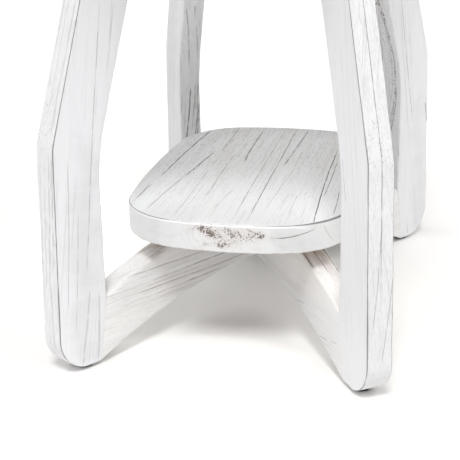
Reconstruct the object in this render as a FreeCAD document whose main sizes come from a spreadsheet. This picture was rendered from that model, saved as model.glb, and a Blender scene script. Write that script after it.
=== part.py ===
import FreeCAD, Part
import math
import operator
import os

import Sketcher

# Chairside table in white-washed wood. Four kneed legs stand on the diagonals of a plan that is deeper than it
# is wide. Arched stretchers butt between the legs' feet, cross in a half lap and carry the shelf on their crowns.
# Two rails cross in the same way between the leg tops and carry the top.
# Millimetres, +Z up, front towards -Y, origin on the floor under the middle of the table.

# Name, number and meaning of each size: millimetres, and degrees for the names that end in angle.
SIZES = (
    ("table_height", 610, "floor to the upper face of the top"),
    ("knee_width", 333, "from knee to knee across the table, on the legs' middle planes"),
    ("knee_depth", 499.5, "from knee to knee front to back"),
    ("knee_height", 249, "floor to the knee in the leg's outer edge"),
    ("lean_angle", 17.6, "leg above the knee, from upright"),
    ("splay_angle", 2.1, "outer edge below the knee, from upright"),
    ("frame_thickness", 28.5, "one stock for legs, stretchers and rails"),
    ("upper_leg_width", 59, "leg above the knee, square to its edges"),
    ("lower_leg_width", 56, "leg at the height of the knee, measured level"),
    ("knee_round", 40, "radius of the knee"),
    ("bend_round", 220, "radius of the bend in the leg's inner edge"),
    ("foot_round", 38, "radius of the toe"),
    ("arch_rise", 56.5, "crown of the arch under a stretcher, above the feet"),
    ("heel_run", 12, "a stretcher's heel on the floor, out past its shoulder"),
    ("crown_round", 615, "radius of a stretcher's upper edge"),
    ("seat_length", 104, "flat on the crown under the shelf"),
    ("shelf_height", 157, "floor to the upper face of the shelf"),
    ("shelf_thickness", 31.5, "shelf boards"),
    ("shelf_width", 258, "shelf across the table"),
    ("shelf_depth", 380, "shelf front to back"),
    ("shelf_corner_round", 82, "radius of the shelf's corners"),
    ("shelf_end_round", 340, "radius of its bowed front and back"),
    ("shelf_side_round", 1400, "radius of its bowed sides"),
    ("shelf_edge_round", 2.5, "round-over of its upper edge"),
    ("shelf_left_board", 98, "width of the left board"),
    ("shelf_middle_board", 74, "width of the middle board"),
    ("top_thickness", 31.5, "top boards"),
    ("top_width", 406, "top across the table"),
    ("top_depth", 610, "top front to back"),
    ("top_corner_round", 110, "radius of the top's corners"),
    ("top_end_round", 540, "radius of its bowed front and back"),
    ("top_side_round", 2200, "radius of its bowed sides"),
    ("top_edge_round", 2.5, "round-over of its upper edge"),
    ("rail_depth", 45, "height of an upper rail"),
    ("lap_clearance", 0.2, "play of a half lap, both sides together"),
    ("dowel_diameter", 10, "dowels of the leg joints"),
    ("dowel_length", 40, "half in the leg, half in the stretcher or rail"),
    ("dowel_clearance", 0.2, "dowel hole over dowel"),
    ("dowel_edge_inset", 12, "dowel's middle from the nearest edge of a stretcher or rail"),
    ("screw_diameter", 4.5, "screws of the shelf and the top"),
    ("screw_clearance", 0.3, "screw hole over screw"),
    ("screw_head_diameter", 9, "screw heads"),
    ("screw_head_height", 3.5, "screw heads"),
    ("screw_point_length", 5, "tapered point"),
    ("screw_bore_diameter", 11, "bores that the heads go up"),
    ("shelf_screw_grip", 30, "wood of a stretcher over a screw head"),
    ("shelf_screw_bite", 18, "screw in the shelf"),
    ("shelf_screw_reach", 46, "shelf screws from the middle of the table"),
    ("top_screw_grip", 24, "wood of a rail over a screw head"),
    ("top_screw_bite", 19, "screw in the top"),
    ("top_screw_reach", 44, "inner top screws from the middle of the table"),
    ("top_screw_setback", 34, "outer top screws from the rail's upper end"),
    ("pad_diameter", 20, "foot pad"),
    ("pad_height", 4, "foot pad"),
    ("pad_taper", 1.5, "the pad's lower rim inside its upper rim"),
    ("pad_inset", 12.5, "pad's middle from the stretcher's heel"),
    ("nail_diameter", 2.5, "nail of a foot pad"),
    ("nail_clearance", 0.2, "nail hole over nail"),
    ("nail_length", 14, "nail, with its end in the pad"),
    ("nail_seat", 2.5, "nail's end in the pad"),
    ("overrun", 6, "how far a cut runs past the wood"),
)
TOP_BOARDS = ("left_outer", "left_inner", "middle", "right_inner", "right_outer")

doc = FreeCAD.newDocument("chairside_table")
sheet = doc.addObject("Spreadsheet::Sheet", "sizes")
for row, (name, number, meaning) in enumerate(SIZES, 1):
    sheet.set(f"A{row}", meaning)
    sheet.set(f"B{row}", str(number))
    sheet.setAlias(f"B{row}", name)
doc.recompute()


class Bound:
    """A value worked out from the sheet: its number now, and the expression that keeps it bound."""

    signs = {"+": operator.add, "-": operator.sub, "*": operator.mul, "/": operator.truediv}

    def __init__(self, number, text):
        self.number = number
        self.text = text

    def joined(self, sign, other):
        if not isinstance(other, Bound):
            other = Bound(other, str(other))
        number = self.signs[sign](self.number, other.number)
        return Bound(number, f"({self.text} {sign} {other.text})")

    def __add__(self, other):
        return self.joined("+", other)

    def __sub__(self, other):
        return self.joined("-", other)

    def __mul__(self, other):
        return self.joined("*", other)

    def __truediv__(self, other):
        return self.joined("/", other)


def size(name):
    return Bound(float(sheet.get(name)), f"sizes.{name}")


def root(square):
    return Bound(math.sqrt(square.number), f"sqrt({square.text})")


def ratio(function, angle):
    """The sine, cosine or tangent of an angle in degrees."""
    number = getattr(math, function)(math.radians(angle.number))
    return Bound(number, f"{function}({angle.text} * 1deg)")


def hypotenuse(across, along):
    return root(across * across + along * along)


def short_side(longest, other):
    """The second short side of a right triangle."""
    return root(longest * longest - other * other)


# Heights and reaches that several pieces share. A reach is measured level from the middle of the table.
thickness = size("frame_thickness")
overrun = size("overrun")
foot = size("pad_height")
seat = size("shelf_height") - size("shelf_thickness")
leg_top = size("table_height") - size("top_thickness")
rail_foot = leg_top - size("rail_depth")
rail_middle = leg_top - size("rail_depth") / 2
knee_height = size("knee_height")
knee_reach = hypotenuse(size("knee_width"), size("knee_depth")) / 2
inner_reach = knee_reach - size("lower_leg_width")
plan_turn = math.degrees(math.atan(size("knee_depth").number / size("knee_width").number))
plan_angle = Bound(plan_turn, "(atan(sizes.knee_depth / sizes.knee_width) / 1deg)")
plan_cosine = ratio("cos", plan_angle)
plan_sine = ratio("sin", plan_angle)
lean = ratio("tan", size("lean_angle"))
leg_level_width = size("upper_leg_width") / ratio("cos", size("lean_angle"))


def outer_reach_at(height):
    """Outer edge of the leg above the knee."""
    return knee_reach - (height - knee_height) * lean


def inner_reach_at(height):
    """Inner edge of the leg above the bend, where the rails meet it."""
    return outer_reach_at(height) - leg_level_width


toe_reach = knee_reach + (knee_height - foot) * ratio("tan", size("splay_angle"))
bend_height = knee_height + (size("lower_leg_width") - leg_level_width) / lean

# A stretcher meets the leg on a slanting face, from its shoulder on the leg's inner edge to its heel further out.
heel_reach = inner_reach + size("heel_run")
pad_reach = heel_reach + size("pad_inset")
low_joint_reach = inner_reach + size("heel_run") / 2
high_joint_reach = inner_reach_at(rail_middle)

# The stretcher's upper edge is struck from the middle of the table, through both ends of the seat.
crown_centre = seat - short_side(size("crown_round"), size("seat_length") / 2)
shoulder_height = crown_centre + short_side(size("crown_round"), inner_reach)
arch_crown = foot + size("arch_rise")
arch_round = (heel_reach * heel_reach + size("arch_rise") * size("arch_rise")) / (size("arch_rise") * 2)
arch_centre = arch_crown - arch_round
stretcher_lap = (arch_crown + seat) / 2
arch_under_dowel = arch_centre + short_side(arch_round, low_joint_reach - size("dowel_length") / 2)
stretcher_dowels = (arch_under_dowel + size("dowel_edge_inset"), shoulder_height - size("dowel_edge_inset"))
rail_dowels = (rail_foot + size("dowel_edge_inset"), leg_top - size("dowel_edge_inset"))
shelf_screws = (size("shelf_screw_reach"),)
top_screws = (size("top_screw_reach"), inner_reach_at(leg_top) - size("top_screw_setback"))

# Turn of each leg about the middle of the table, from +X, and of the two members that cross.
half_turn = 180
LEGS = {
    "rear_right": plan_angle,
    "rear_left": plan_angle * -1 + half_turn,
    "front_left": plan_angle + half_turn,
    "front_right": plan_angle * -1,
}
ONE_WAY = plan_angle
OTHER_WAY = plan_angle * -1

cuts = []


def turn_about_z(thing, prop, angle):
    """Binds the turn of a placement about the vertical."""
    placement = getattr(thing, prop)
    placement.Rotation = FreeCAD.Rotation(FreeCAD.Vector(0, 0, 1), angle.number)
    setattr(thing, prop, placement)
    thing.setExpression(f"{prop}.Rotation.Angle", f"{angle.text} * 1deg")


def move_to(thing, prop="Placement", **places):
    """Binds the place of an object, or of a sketch on its plane."""
    for axis, place in places.items():
        thing.setExpression(f"{prop}.Base.{axis}", place.text)


def new_body(label, turn=None):
    body = doc.addObject("PartDesign::Body", label)
    body.Label = label
    if turn:
        turn_about_z(body, "Placement", turn)
    return body


def origin_plane(body, role):
    return next(plane for plane in body.Origin.OriginFeatures if plane.Role == role)


def new_sketch(body, role, offset=None, turn=None):
    sketch = body.newObject("Sketcher::SketchObject", f"{body.Name}_sketch")
    sketch.AttachmentSupport = [(origin_plane(body, role), "")]
    sketch.MapMode = "FlatFace"
    if turn:
        turn_about_z(sketch, "AttachmentOffset", turn)
    if offset:
        move_to(sketch, "AttachmentOffset", z=offset)
    return sketch


def drive(sketch, value, *what):
    """Adds a dimension and binds it."""
    index = sketch.addConstraint(Sketcher.Constraint(*what, value.number))
    sketch.setExpression(f"Constraints[{index}]", value.text)


def tie(sketch, *what):
    sketch.addConstraint(Sketcher.Constraint(*what))


def vector(across, up):
    return FreeCAD.Vector(across.number, up.number, 0)


def draw_polygon(sketch, corners):
    """A closed outline of straight lines, with both distances of each corner bound."""
    ends = corners[1:] + corners[:1]
    for start, end in zip(corners, ends):
        sketch.addGeometry(Part.LineSegment(vector(*start), vector(*end)))
    for index, (across, up) in enumerate(corners):
        tie(sketch, "Coincident", index - 1 if index else len(corners) - 1, 2, index, 1)
        drive(sketch, across, "DistanceX", -1, 1, index, 1)
        drive(sketch, up, "DistanceY", -1, 1, index, 1)


def draw_slot(sketch, length, width):
    """A rectangle about the sketch's origin."""
    across, up = length / 2, width / 2
    left, low = across * -1, up * -1
    corners = [(left, low), (across, low), (across, up), (left, up)]
    for start, end in zip(corners, corners[1:] + corners[:1]):
        sketch.addGeometry(Part.LineSegment(vector(*start), vector(*end)))
    for index, side in enumerate(("Horizontal", "Vertical", "Horizontal", "Vertical")):
        tie(sketch, "Coincident", index, 2, (index + 1) % len(corners), 1)
        tie(sketch, side, index)
    tie(sketch, "Symmetric", 0, 1, 2, 1, -1, 1)
    drive(sketch, length, "DistanceX", 0, 1, 0, 2)
    drive(sketch, width, "DistanceY", 1, 1, 1, 2)


def draw_circles(sketch, diameter, places):
    """Circles of one diameter. A place is a distance across and a distance up, zero where it is on the axis."""
    normal = FreeCAD.Vector(0, 0, 1)
    zero = Bound(0, "0")
    for across, up in places:
        centre = vector(across or zero, up or zero)
        index = sketch.addGeometry(Part.Circle(centre, normal, diameter.number / 2))
        drive(sketch, diameter, "Diameter", index)
        if across:
            drive(sketch, across, "DistanceX", -1, 1, index, 3)
        else:
            tie(sketch, "PointOnObject", index, 3, -2)
        if up:
            drive(sketch, up, "DistanceY", -1, 1, index, 3)
        else:
            tie(sketch, "PointOnObject", index, 3, -1)


def pad(body, sketch, length, both_ways=False):
    feature = body.newObject("PartDesign::Pad", f"{body.Name}_pad")
    feature.Profile = sketch
    feature.SideType = "Symmetric" if both_ways else "One side"
    feature.setExpression("Length", length.text)
    doc.recompute()
    return feature


def pocket(body, sketch, depth, with_normal=False):
    """A cut against the sketch's normal, or along it."""
    before = body.Tip.Shape.Volume
    feature = body.newObject("PartDesign::Pocket", f"{body.Name}_pocket")
    feature.Profile = sketch
    feature.Reversed = with_normal
    feature.setExpression("Length", depth.text)
    doc.recompute()
    cuts.append((feature, before))
    return feature


def mirror_cut(body, cut, role):
    """Repeats a cut on the other side of one of the body's planes."""
    before = body.Tip.Shape.Volume
    feature = body.newObject("PartDesign::Mirrored", f"{body.Name}_mirror")
    feature.Originals = [cut]
    feature.MirrorPlane = (origin_plane(body, role), [""])
    body.Tip = feature
    doc.recompute()
    cuts.append((feature, before))


def fillet(body, edges, radius):
    base = body.Tip
    feature = body.newObject("PartDesign::Fillet", f"{body.Name}_fillet")
    feature.Base = (base, edges)
    feature.setExpression("Radius", radius.text)
    doc.recompute()


def edge_at(body, place):
    """Name of the edge through the wood whose middle is nearest to a place on the body's upright plane."""
    target = FreeCAD.Vector(place[0].number, 0, place[1].number)
    edges = body.Tip.Shape.Edges
    nearest = min(range(len(edges)), key=lambda index: edges[index].CenterOfMass.distanceToPoint(target))
    return f"Edge{nearest + 1}"


# Legs
def leg(name, turn):
    """A flat kneed board: straight outer edges that meet at the knee, a bent inner edge and a rounded toe."""
    body = new_body(f"leg_{name}", turn)
    toe, knee, bend = (toe_reach, foot), (knee_reach, knee_height), (inner_reach, bend_height)
    outline = new_sketch(body, "XZ_Plane")
    top_edge = [(outer_reach_at(leg_top), leg_top), (inner_reach_at(leg_top), leg_top)]
    draw_polygon(outline, [(heel_reach, foot), toe, knee, *top_edge, bend, (inner_reach, shoulder_height)])
    pad(body, outline, thickness, both_ways=True)
    for corner, radius in ((knee, "knee_round"), (bend, "bend_round"), (toe, "foot_round")):
        fillet(body, [edge_at(body, corner)], size(radius))

    hole = size("dowel_diameter") + size("dowel_clearance")
    for heights, joint_reach in ((stretcher_dowels, low_joint_reach), (rail_dowels, high_joint_reach)):
        holes = new_sketch(body, "YZ_Plane", joint_reach + size("dowel_length") / 2)
        draw_circles(holes, hole, [(None, height) for height in heights])
        pocket(body, holes, size("dowel_length"))
    nail_hole = new_sketch(body, "XY_Plane", foot)
    draw_circles(nail_hole, size("nail_diameter") + size("nail_clearance"), [(pad_reach, None)])
    pocket(body, nail_hole, size("nail_length") - size("nail_seat"), with_normal=True)
    return body


# What the stretchers and the rails have in common
def cut_lap(body, lap, turn, crossing, from_above, reach):
    """Half of the crossing: a slot along the other member, from the lap up or down."""
    other = crossing - turn
    crossing_sine = plan_sine * plan_cosine * 2
    slot = new_sketch(body, "XY_Plane", lap, other)
    draw_slot(slot, thickness * 2 / crossing_sine, thickness + size("lap_clearance"))
    pocket(body, slot, reach + overrun, with_normal=from_above)


def bore_ends(body, dowel_heights, joint_reach):
    """Dowel holes in both ends."""
    hole = size("dowel_diameter") + size("dowel_clearance")
    sketch = new_sketch(body, "YZ_Plane", joint_reach - size("dowel_length") / 2)
    draw_circles(sketch, hole, [(None, height) for height in dowel_heights])
    cut = pocket(body, sketch, size("dowel_length"), with_normal=True)
    mirror_cut(body, cut, "YZ_Plane")


def bore_screws(body, reaches, bearing, grip, below):
    """Stepped holes for screws from below: a wide bore for the head and a narrow one for the shank."""
    sides = [reach for place in reaches for reach in (place, place * -1)]
    wide = new_sketch(body, "XY_Plane", bearing)
    draw_circles(wide, size("screw_bore_diameter"), [(reach, None) for reach in sides])
    pocket(body, wide, below)
    narrow = new_sketch(body, "XY_Plane", bearing)
    shank = size("screw_diameter") + size("screw_clearance")
    draw_circles(narrow, shank, [(reach, None) for reach in sides])
    pocket(body, narrow, grip + overrun, with_normal=True)


# Stretchers
def arc(centre_up, radius, start, end):
    """Arc about a point on the upright axis, counter-clockwise from one point to another."""
    centre = FreeCAD.Vector(0, centre_up.number, 0)
    circle = Part.Circle(centre, FreeCAD.Vector(0, 0, 1), radius.number)
    turns = [math.atan2(point.y - centre.y, point.x - centre.x) for point in (start, end)]
    return Part.ArcOfCircle(circle, *turns)


def draw_arched_board(sketch):
    """Arched under edge, slanting ends, and an upper edge struck as one curve with a flat seat on its crown."""
    half_seat = size("seat_length") / 2
    heel, shoulder, brow = vector(heel_reach, foot), vector(inner_reach, shoulder_height), vector(half_seat, seat)
    far_heel, far_shoulder, far_brow = (FreeCAD.Vector(-p.x, p.y, 0) for p in (heel, shoulder, brow))
    crown_round = size("crown_round")
    under, end, upper, flat, far_upper, far_end = range(6)
    sketch.addGeometry(arc(arch_centre, arch_round, heel, far_heel))
    sketch.addGeometry(Part.LineSegment(heel, shoulder))
    sketch.addGeometry(arc(crown_centre, crown_round, shoulder, brow))
    sketch.addGeometry(Part.LineSegment(brow, far_brow))
    sketch.addGeometry(arc(crown_centre, crown_round, far_brow, far_shoulder))
    sketch.addGeometry(Part.LineSegment(far_shoulder, far_heel))
    tie(sketch, "Coincident", under, 1, end, 1)
    tie(sketch, "Coincident", end, 2, upper, 1)
    tie(sketch, "Coincident", upper, 2, flat, 1)
    tie(sketch, "Coincident", flat, 2, far_upper, 1)
    tie(sketch, "Coincident", far_upper, 2, far_end, 1)
    tie(sketch, "Coincident", far_end, 2, under, 2)
    tie(sketch, "Symmetric", under, 1, under, 2, -2)
    tie(sketch, "Symmetric", flat, 1, flat, 2, -2)
    tie(sketch, "PointOnObject", upper, 3, -2)
    tie(sketch, "PointOnObject", far_upper, 3, -2)
    drive(sketch, heel_reach, "DistanceX", -1, 1, under, 1)
    drive(sketch, foot, "DistanceY", -1, 1, under, 1)
    drive(sketch, inner_reach, "DistanceX", -1, 1, upper, 1)
    drive(sketch, inner_reach * -1, "DistanceX", -1, 1, far_upper, 2)
    drive(sketch, half_seat, "DistanceX", -1, 1, flat, 1)
    drive(sketch, seat, "DistanceY", -1, 1, flat, 1)
    drive(sketch, arch_round, "Radius", under)
    drive(sketch, crown_round, "Radius", upper)
    drive(sketch, crown_round, "Radius", far_upper)


def stretcher(label, turn, crossing, from_above):
    body = new_body(label, turn)
    outline = new_sketch(body, "XZ_Plane")
    draw_arched_board(outline)
    pad(body, outline, thickness, both_ways=True)
    cut_lap(body, stretcher_lap, turn, crossing, from_above, seat - stretcher_lap)
    bore_ends(body, stretcher_dowels, low_joint_reach)
    grip = size("shelf_screw_grip")
    bore_screws(body, shelf_screws, seat - grip, grip, seat - grip - foot)
    return body


# Rails under the top
def rail(label, turn, crossing, from_above):
    """A straight board with its ends cut to the lean of the legs."""
    body = new_body(label, turn)
    outline = new_sketch(body, "XZ_Plane")
    upper, lower = inner_reach_at(leg_top), inner_reach_at(rail_foot)
    corners = [(lower * -1, rail_foot), (lower, rail_foot), (upper, leg_top), (upper * -1, leg_top)]
    draw_polygon(outline, corners)
    pad(body, outline, thickness, both_ways=True)
    cut_lap(body, rail_middle, turn, crossing, from_above, size("rail_depth") / 2)
    bore_ends(body, rail_dowels, high_joint_reach)
    grip = size("top_screw_grip")
    bore_screws(body, top_screws, leg_top - grip, grip, size("rail_depth") - grip + overrun)
    return body


# Shelf and top: edge-glued boards, sawn to one bowed outline and rounded over along the upper edge
def corner_centre(half_width, half_depth, corner, end, side):
    """Middle of the corner arc that runs smoothly into the bowed end and the bowed side."""
    end_y = half_depth - end
    side_x = half_width - side
    to_end, to_side = end - corner, side - corner
    apart = math.hypot(side_x, end_y)
    along = (to_side**2 - to_end**2 + apart**2) / (2 * apart)
    beside = math.sqrt(to_side**2 - along**2)
    lead = FreeCAD.Vector(-side_x, end_y, 0) / apart
    square = FreeCAD.Vector(-lead.y, lead.x, 0)
    middles = [FreeCAD.Vector(side_x, 0, 0) + lead * along + square * way for way in (beside, -beside)]
    return max(middles, key=lambda middle: middle.x)


def draw_bowed_outline(sketch, name):
    """Eight arcs: bowed side, corner, bowed end, corner and so on round."""
    half_width, half_depth = size(f"{name}_width") / 2, size(f"{name}_depth") / 2
    corner, end, side = (size(f"{name}_{piece}_round") for piece in ("corner", "end", "side"))
    numbers = [value.number for value in (half_width, half_depth, corner, end, side)]
    middle = corner_centre(*numbers)
    end_drop, side_drop = half_depth - end, half_width - side
    end_start = math.atan2(middle.y - end_drop.number, middle.x)
    side_end = math.atan2(middle.y, middle.x - side_drop.number)
    quarter = math.pi / 2
    half_end, half_side = quarter - end_start, side_end
    ways = [(1, 0), (1, 1), (0, 1), (-1, 1), (-1, 0), (-1, -1), (0, -1), (1, -1)]
    for index, (way_x, way_y) in enumerate(ways):
        facing = index * quarter / 2
        if not way_y:
            place, radius = FreeCAD.Vector(way_x * side_drop.number, 0, 0), side
            start, stop = facing - half_side, facing + half_side
        elif not way_x:
            place, radius = FreeCAD.Vector(0, way_y * end_drop.number, 0), end
            start, stop = facing - half_end, facing + half_end
        else:
            place, radius = FreeCAD.Vector(way_x * middle.x, way_y * middle.y, 0), corner
            before, after = (half_side, half_end) if way_x == way_y else (half_end, half_side)
            start, stop = facing - quarter / 2 + before, facing + quarter / 2 - after
        circle = Part.Circle(place, FreeCAD.Vector(0, 0, 1), radius.number)
        sketch.addGeometry(Part.ArcOfCircle(circle, start, stop))
        drive(sketch, radius, "Radius", index)
    for index in range(len(ways)):
        tie(sketch, "Tangent", index, 2, (index + 1) % len(ways), 1)
    for index, axis, other_axis, drop in ((0, "X", -1, side_drop), (2, "Y", -2, end_drop)):
        for arc_index, way in ((index, 1), (index + len(ways) // 2, -1)):
            tie(sketch, "PointOnObject", arc_index, 3, other_axis)
            drive(sketch, drop * way, f"Distance{axis}", -1, 1, arc_index, 3)


def panel(name, under, screw_reaches, bite):
    """The glued-up panel before it is told apart into boards, with the pilot holes of its screws."""
    body = new_body(f"{name}_panel")
    outline = new_sketch(body, "XY_Plane", under)
    draw_bowed_outline(outline, name)
    solid = pad(body, outline, size(f"{name}_thickness"))
    upper = max(solid.Shape.Faces, key=lambda face: face.CenterOfMass.z)
    rim = [f"Edge{index}" for index, edge in enumerate(solid.Shape.Edges, 1)
           if any(edge.isSame(upper_edge) for upper_edge in upper.Edges)]
    fillet(body, rim, size(f"{name}_edge_round"))
    holes = new_sketch(body, "XY_Plane", under)
    corners = [(way_x, way_y) for way_x in (1, -1) for way_y in (1, -1)]
    places = [(reach * plan_cosine * x, reach * plan_sine * y) for reach in screw_reaches for x, y in corners]
    draw_circles(holes, size("screw_diameter") + size("screw_clearance"), places)
    pocket(body, holes, bite, with_normal=True)
    return body


def board(label, whole, name, under, left, right):
    """One board of a panel: all of the panel between two upright planes."""
    strip = doc.addObject("Part::Box", f"{label}_strip")
    strip.setExpression("Length", (right - left).text)
    strip.setExpression("Width", (size(f"{name}_depth") + overrun * 2).text)
    strip.setExpression("Height", (size(f"{name}_thickness") + overrun * 2).text)
    move_to(strip, x=left, y=size(f"{name}_depth") / -2 - overrun, z=under - overrun)
    piece = doc.addObject("Part::Common", label)
    piece.Label = label
    piece.Base = whole
    piece.Tool = strip
    return piece


def shelf_boards():
    whole = panel("shelf", seat, shelf_screws, size("shelf_screw_bite"))
    edge = size("shelf_width") / 2
    first = edge * -1 + size("shelf_left_board")
    second = first + size("shelf_middle_board")
    lines = (edge * -1 - overrun, first, second, edge + overrun)
    sides = zip(("left", "middle", "right"), lines, lines[1:])
    return [board(f"shelf_board_{side}", whole, "shelf", seat, left, right) for side, left, right in sides]


def top_boards():
    whole = panel("top", leg_top, top_screws, size("top_screw_bite"))
    edge = size("top_width") / 2
    width = size("top_width") / len(TOP_BOARDS)
    lines = [edge * -1 - overrun]
    lines += [edge * -1 + width * count for count in range(1, len(TOP_BOARDS))]
    lines += [edge + overrun]
    sides = zip(TOP_BOARDS, lines, lines[1:])
    return [board(f"top_board_{side}", whole, "top", leg_top, left, right) for side, left, right in sides]


# Fasteners and feet: made once for a leg that points along +X, then turned to each leg
def cylinder(name, diameter, height, lying=False, **places):
    solid = doc.addObject("Part::Cylinder", name)
    solid.setExpression("Radius", (diameter / 2).text)
    solid.setExpression("Height", height.text)
    if lying:
        quarter_turn = 90
        solid.Placement.Rotation = FreeCAD.Rotation(FreeCAD.Vector(0, 1, 0), quarter_turn)
    move_to(solid, **places)
    return solid


def on_each_leg(label, solids):
    """One node of separate solids: the same few on every diagonal arm."""
    arms = []
    for name, turn in LEGS.items():
        arm = doc.addObject("Part::Compound", f"{label}_{name}")
        arm.Links = solids
        turn_about_z(arm, "Placement", turn)
        arms.append(arm)
    group = doc.addObject("Part::Compound", label)
    group.Label = label
    group.Links = arms
    return group


def dowels(label, heights, reach):
    start = reach - size("dowel_length") / 2
    solids = [cylinder(f"{label}_{index}", size("dowel_diameter"), size("dowel_length"), True, x=start, z=height)
              for index, height in enumerate(heights)]
    return on_each_leg(label, solids)


def screw(name, reach, bearing, length):
    """Flat head, shank and tapered point, driven straight up."""
    point_length = size("screw_point_length")
    head_low = bearing - size("screw_head_height")
    head = cylinder(f"{name}_head", size("screw_head_diameter"), size("screw_head_height"), x=reach, z=head_low)
    shank = cylinder(f"{name}_shank", size("screw_diameter"), length - point_length, x=reach, z=bearing)
    point = doc.addObject("Part::Cone", f"{name}_point")
    point.setExpression("Radius1", (size("screw_diameter") / 2).text)
    point.Radius2 = 0
    point.setExpression("Height", point_length.text)
    move_to(point, x=reach, z=bearing + length - point_length)
    whole = doc.addObject("Part::MultiFuse", name)
    whole.Shapes = [head, shank, point]
    return whole


def screws(label, reaches, bearing, length):
    solids = [screw(f"{label}_{index}", reach, bearing, length) for index, reach in enumerate(reaches)]
    return on_each_leg(label, solids)


def foot_pads():
    """Tapered nylon discs, each with a blind hole for its nail."""
    rim = size("pad_diameter") / 2
    disc = doc.addObject("Part::Cone", "pad_disc")
    disc.setExpression("Radius1", (rim - size("pad_taper")).text)
    disc.setExpression("Radius2", rim.text)
    disc.setExpression("Height", foot.text)
    move_to(disc, x=pad_reach)
    hole = cylinder("pad_hole", size("nail_diameter") + size("nail_clearance"), size("nail_seat") + overrun,
                    x=pad_reach, z=foot - size("nail_seat"))
    whole = doc.addObject("Part::Cut", "pad_with_hole")
    whole.Base = disc
    whole.Tool = hole
    return on_each_leg("foot_pads", [whole])


def foot_nails():
    nail = cylinder("pad_nail", size("nail_diameter"), size("nail_length"), x=pad_reach,
                    z=foot - size("nail_seat"))
    return on_each_leg("foot_nails", [nail])


pieces = [leg(name, turn) for name, turn in LEGS.items()]
pieces.append(stretcher("stretcher_under", ONE_WAY, OTHER_WAY, from_above=True))
pieces.append(stretcher("stretcher_over", OTHER_WAY, ONE_WAY, from_above=False))
pieces.append(rail("rail_under", ONE_WAY, OTHER_WAY, from_above=True))
pieces.append(rail("rail_over", OTHER_WAY, ONE_WAY, from_above=False))
pieces += shelf_boards()
pieces += top_boards()
pieces.append(dowels("stretcher_dowels", stretcher_dowels, low_joint_reach))
pieces.append(dowels("rail_dowels", rail_dowels, high_joint_reach))
shelf_screw_length = size("shelf_screw_grip") + size("shelf_screw_bite")
pieces.append(screws("shelf_screws", shelf_screws, seat - size("shelf_screw_grip"), shelf_screw_length))
top_screw_length = size("top_screw_grip") + size("top_screw_bite")
pieces.append(screws("top_screws", top_screws, leg_top - size("top_screw_grip"), top_screw_length))
pieces.append(foot_pads())
pieces.append(foot_nails())
doc.recompute()

for thing in doc.Objects:
    if {"Invalid", "Error"} & set(thing.State):
        raise RuntimeError(f"{thing.Name} failed: {thing.State}")
for cut, volume_before in cuts:
    if not cut.Shape.Volume < volume_before:
        raise RuntimeError(f"{cut.Name} cuts nothing")
os.makedirs("parts", exist_ok=True)
for piece in pieces:
    if piece.Shape.isNull() or not piece.Shape.isValid():
        raise RuntimeError(f"{piece.Label} has no valid shape")
    piece.Shape.exportStep(f"parts/{piece.Label}.step")
    print(piece.Label, len(piece.Shape.Solids), round(piece.Shape.Volume))
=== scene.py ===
# %% [markdown]
# # A chairside table in white-washed wood
# The solids of the table come in first and stay as they are: they say where every piece goes. The wooden
# pieces are then made again as surfaces with worn edges, because on the real table no edge is dead sharp,
# and a white finish shows its edges more than anything else.

# %% Load the table's solids
import math

import bmesh
import bpy
import numpy as np
from mathutils import Matrix, Vector


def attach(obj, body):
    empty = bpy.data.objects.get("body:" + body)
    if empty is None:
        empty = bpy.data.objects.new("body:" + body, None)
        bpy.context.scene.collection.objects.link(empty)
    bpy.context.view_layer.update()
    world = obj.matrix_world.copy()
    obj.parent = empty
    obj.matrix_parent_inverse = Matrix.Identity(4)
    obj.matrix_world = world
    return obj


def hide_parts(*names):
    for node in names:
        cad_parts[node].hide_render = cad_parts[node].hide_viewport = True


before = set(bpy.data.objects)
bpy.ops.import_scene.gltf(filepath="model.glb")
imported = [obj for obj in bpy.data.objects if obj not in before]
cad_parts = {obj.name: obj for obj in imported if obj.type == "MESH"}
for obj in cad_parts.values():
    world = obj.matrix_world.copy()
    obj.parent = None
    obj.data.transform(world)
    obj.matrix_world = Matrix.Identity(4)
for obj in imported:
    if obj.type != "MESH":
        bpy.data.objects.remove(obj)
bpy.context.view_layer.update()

# %% [markdown]
# ## The camera
# The photograph looks down on the lower half of the table from the front and a little from the right.
# Lines that are parallel on the table run together in the picture, and how fast they do gives the lens
# and the distance. The camera below was worked out from the edges of the legs, the feet and the shelf.

# %% Camera
CAMERA_PLACE = Vector((0.2637, -1.3024, 0.5726))
CAMERA_YAW = math.radians(13.0)
CAMERA_PITCH = math.radians(20.26)
CAMERA_ROLL = math.radians(-1.14)
SENSOR_WIDTH = 36.0
FOCAL_PIXELS, PICTURE_PIXELS = 1179.1, 460


def aim_camera():
    """A level gaze is turned by the yaw, tipped down by the pitch, then rolled about itself."""
    level = Vector((-math.sin(CAMERA_YAW), math.cos(CAMERA_YAW), 0))
    right = Vector((math.cos(CAMERA_YAW), math.sin(CAMERA_YAW), 0))
    upright = Vector((0, 0, 1))
    gaze = level * math.cos(CAMERA_PITCH) - upright * math.sin(CAMERA_PITCH)
    above = level * math.sin(CAMERA_PITCH) + upright * math.cos(CAMERA_PITCH)
    rolled_right = right * math.cos(CAMERA_ROLL) + above * math.sin(CAMERA_ROLL)
    rolled_above = above * math.cos(CAMERA_ROLL) - right * math.sin(CAMERA_ROLL)
    rotation = Matrix((rolled_right, rolled_above, -gaze)).transposed().to_4x4()
    return Matrix.Translation(CAMERA_PLACE) @ rotation


camera_data = bpy.data.cameras.new("camera")
camera_data.sensor_width = SENSOR_WIDTH
camera_data.lens = SENSOR_WIDTH * FOCAL_PIXELS / PICTURE_PIXELS
camera = bpy.data.objects.new("camera", camera_data)
camera.matrix_world = aim_camera()
bpy.context.scene.collection.objects.link(camera)
bpy.context.scene.camera = camera
print("lens of", round(camera_data.lens, 1), "mm at", tuple(camera.location))

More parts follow.
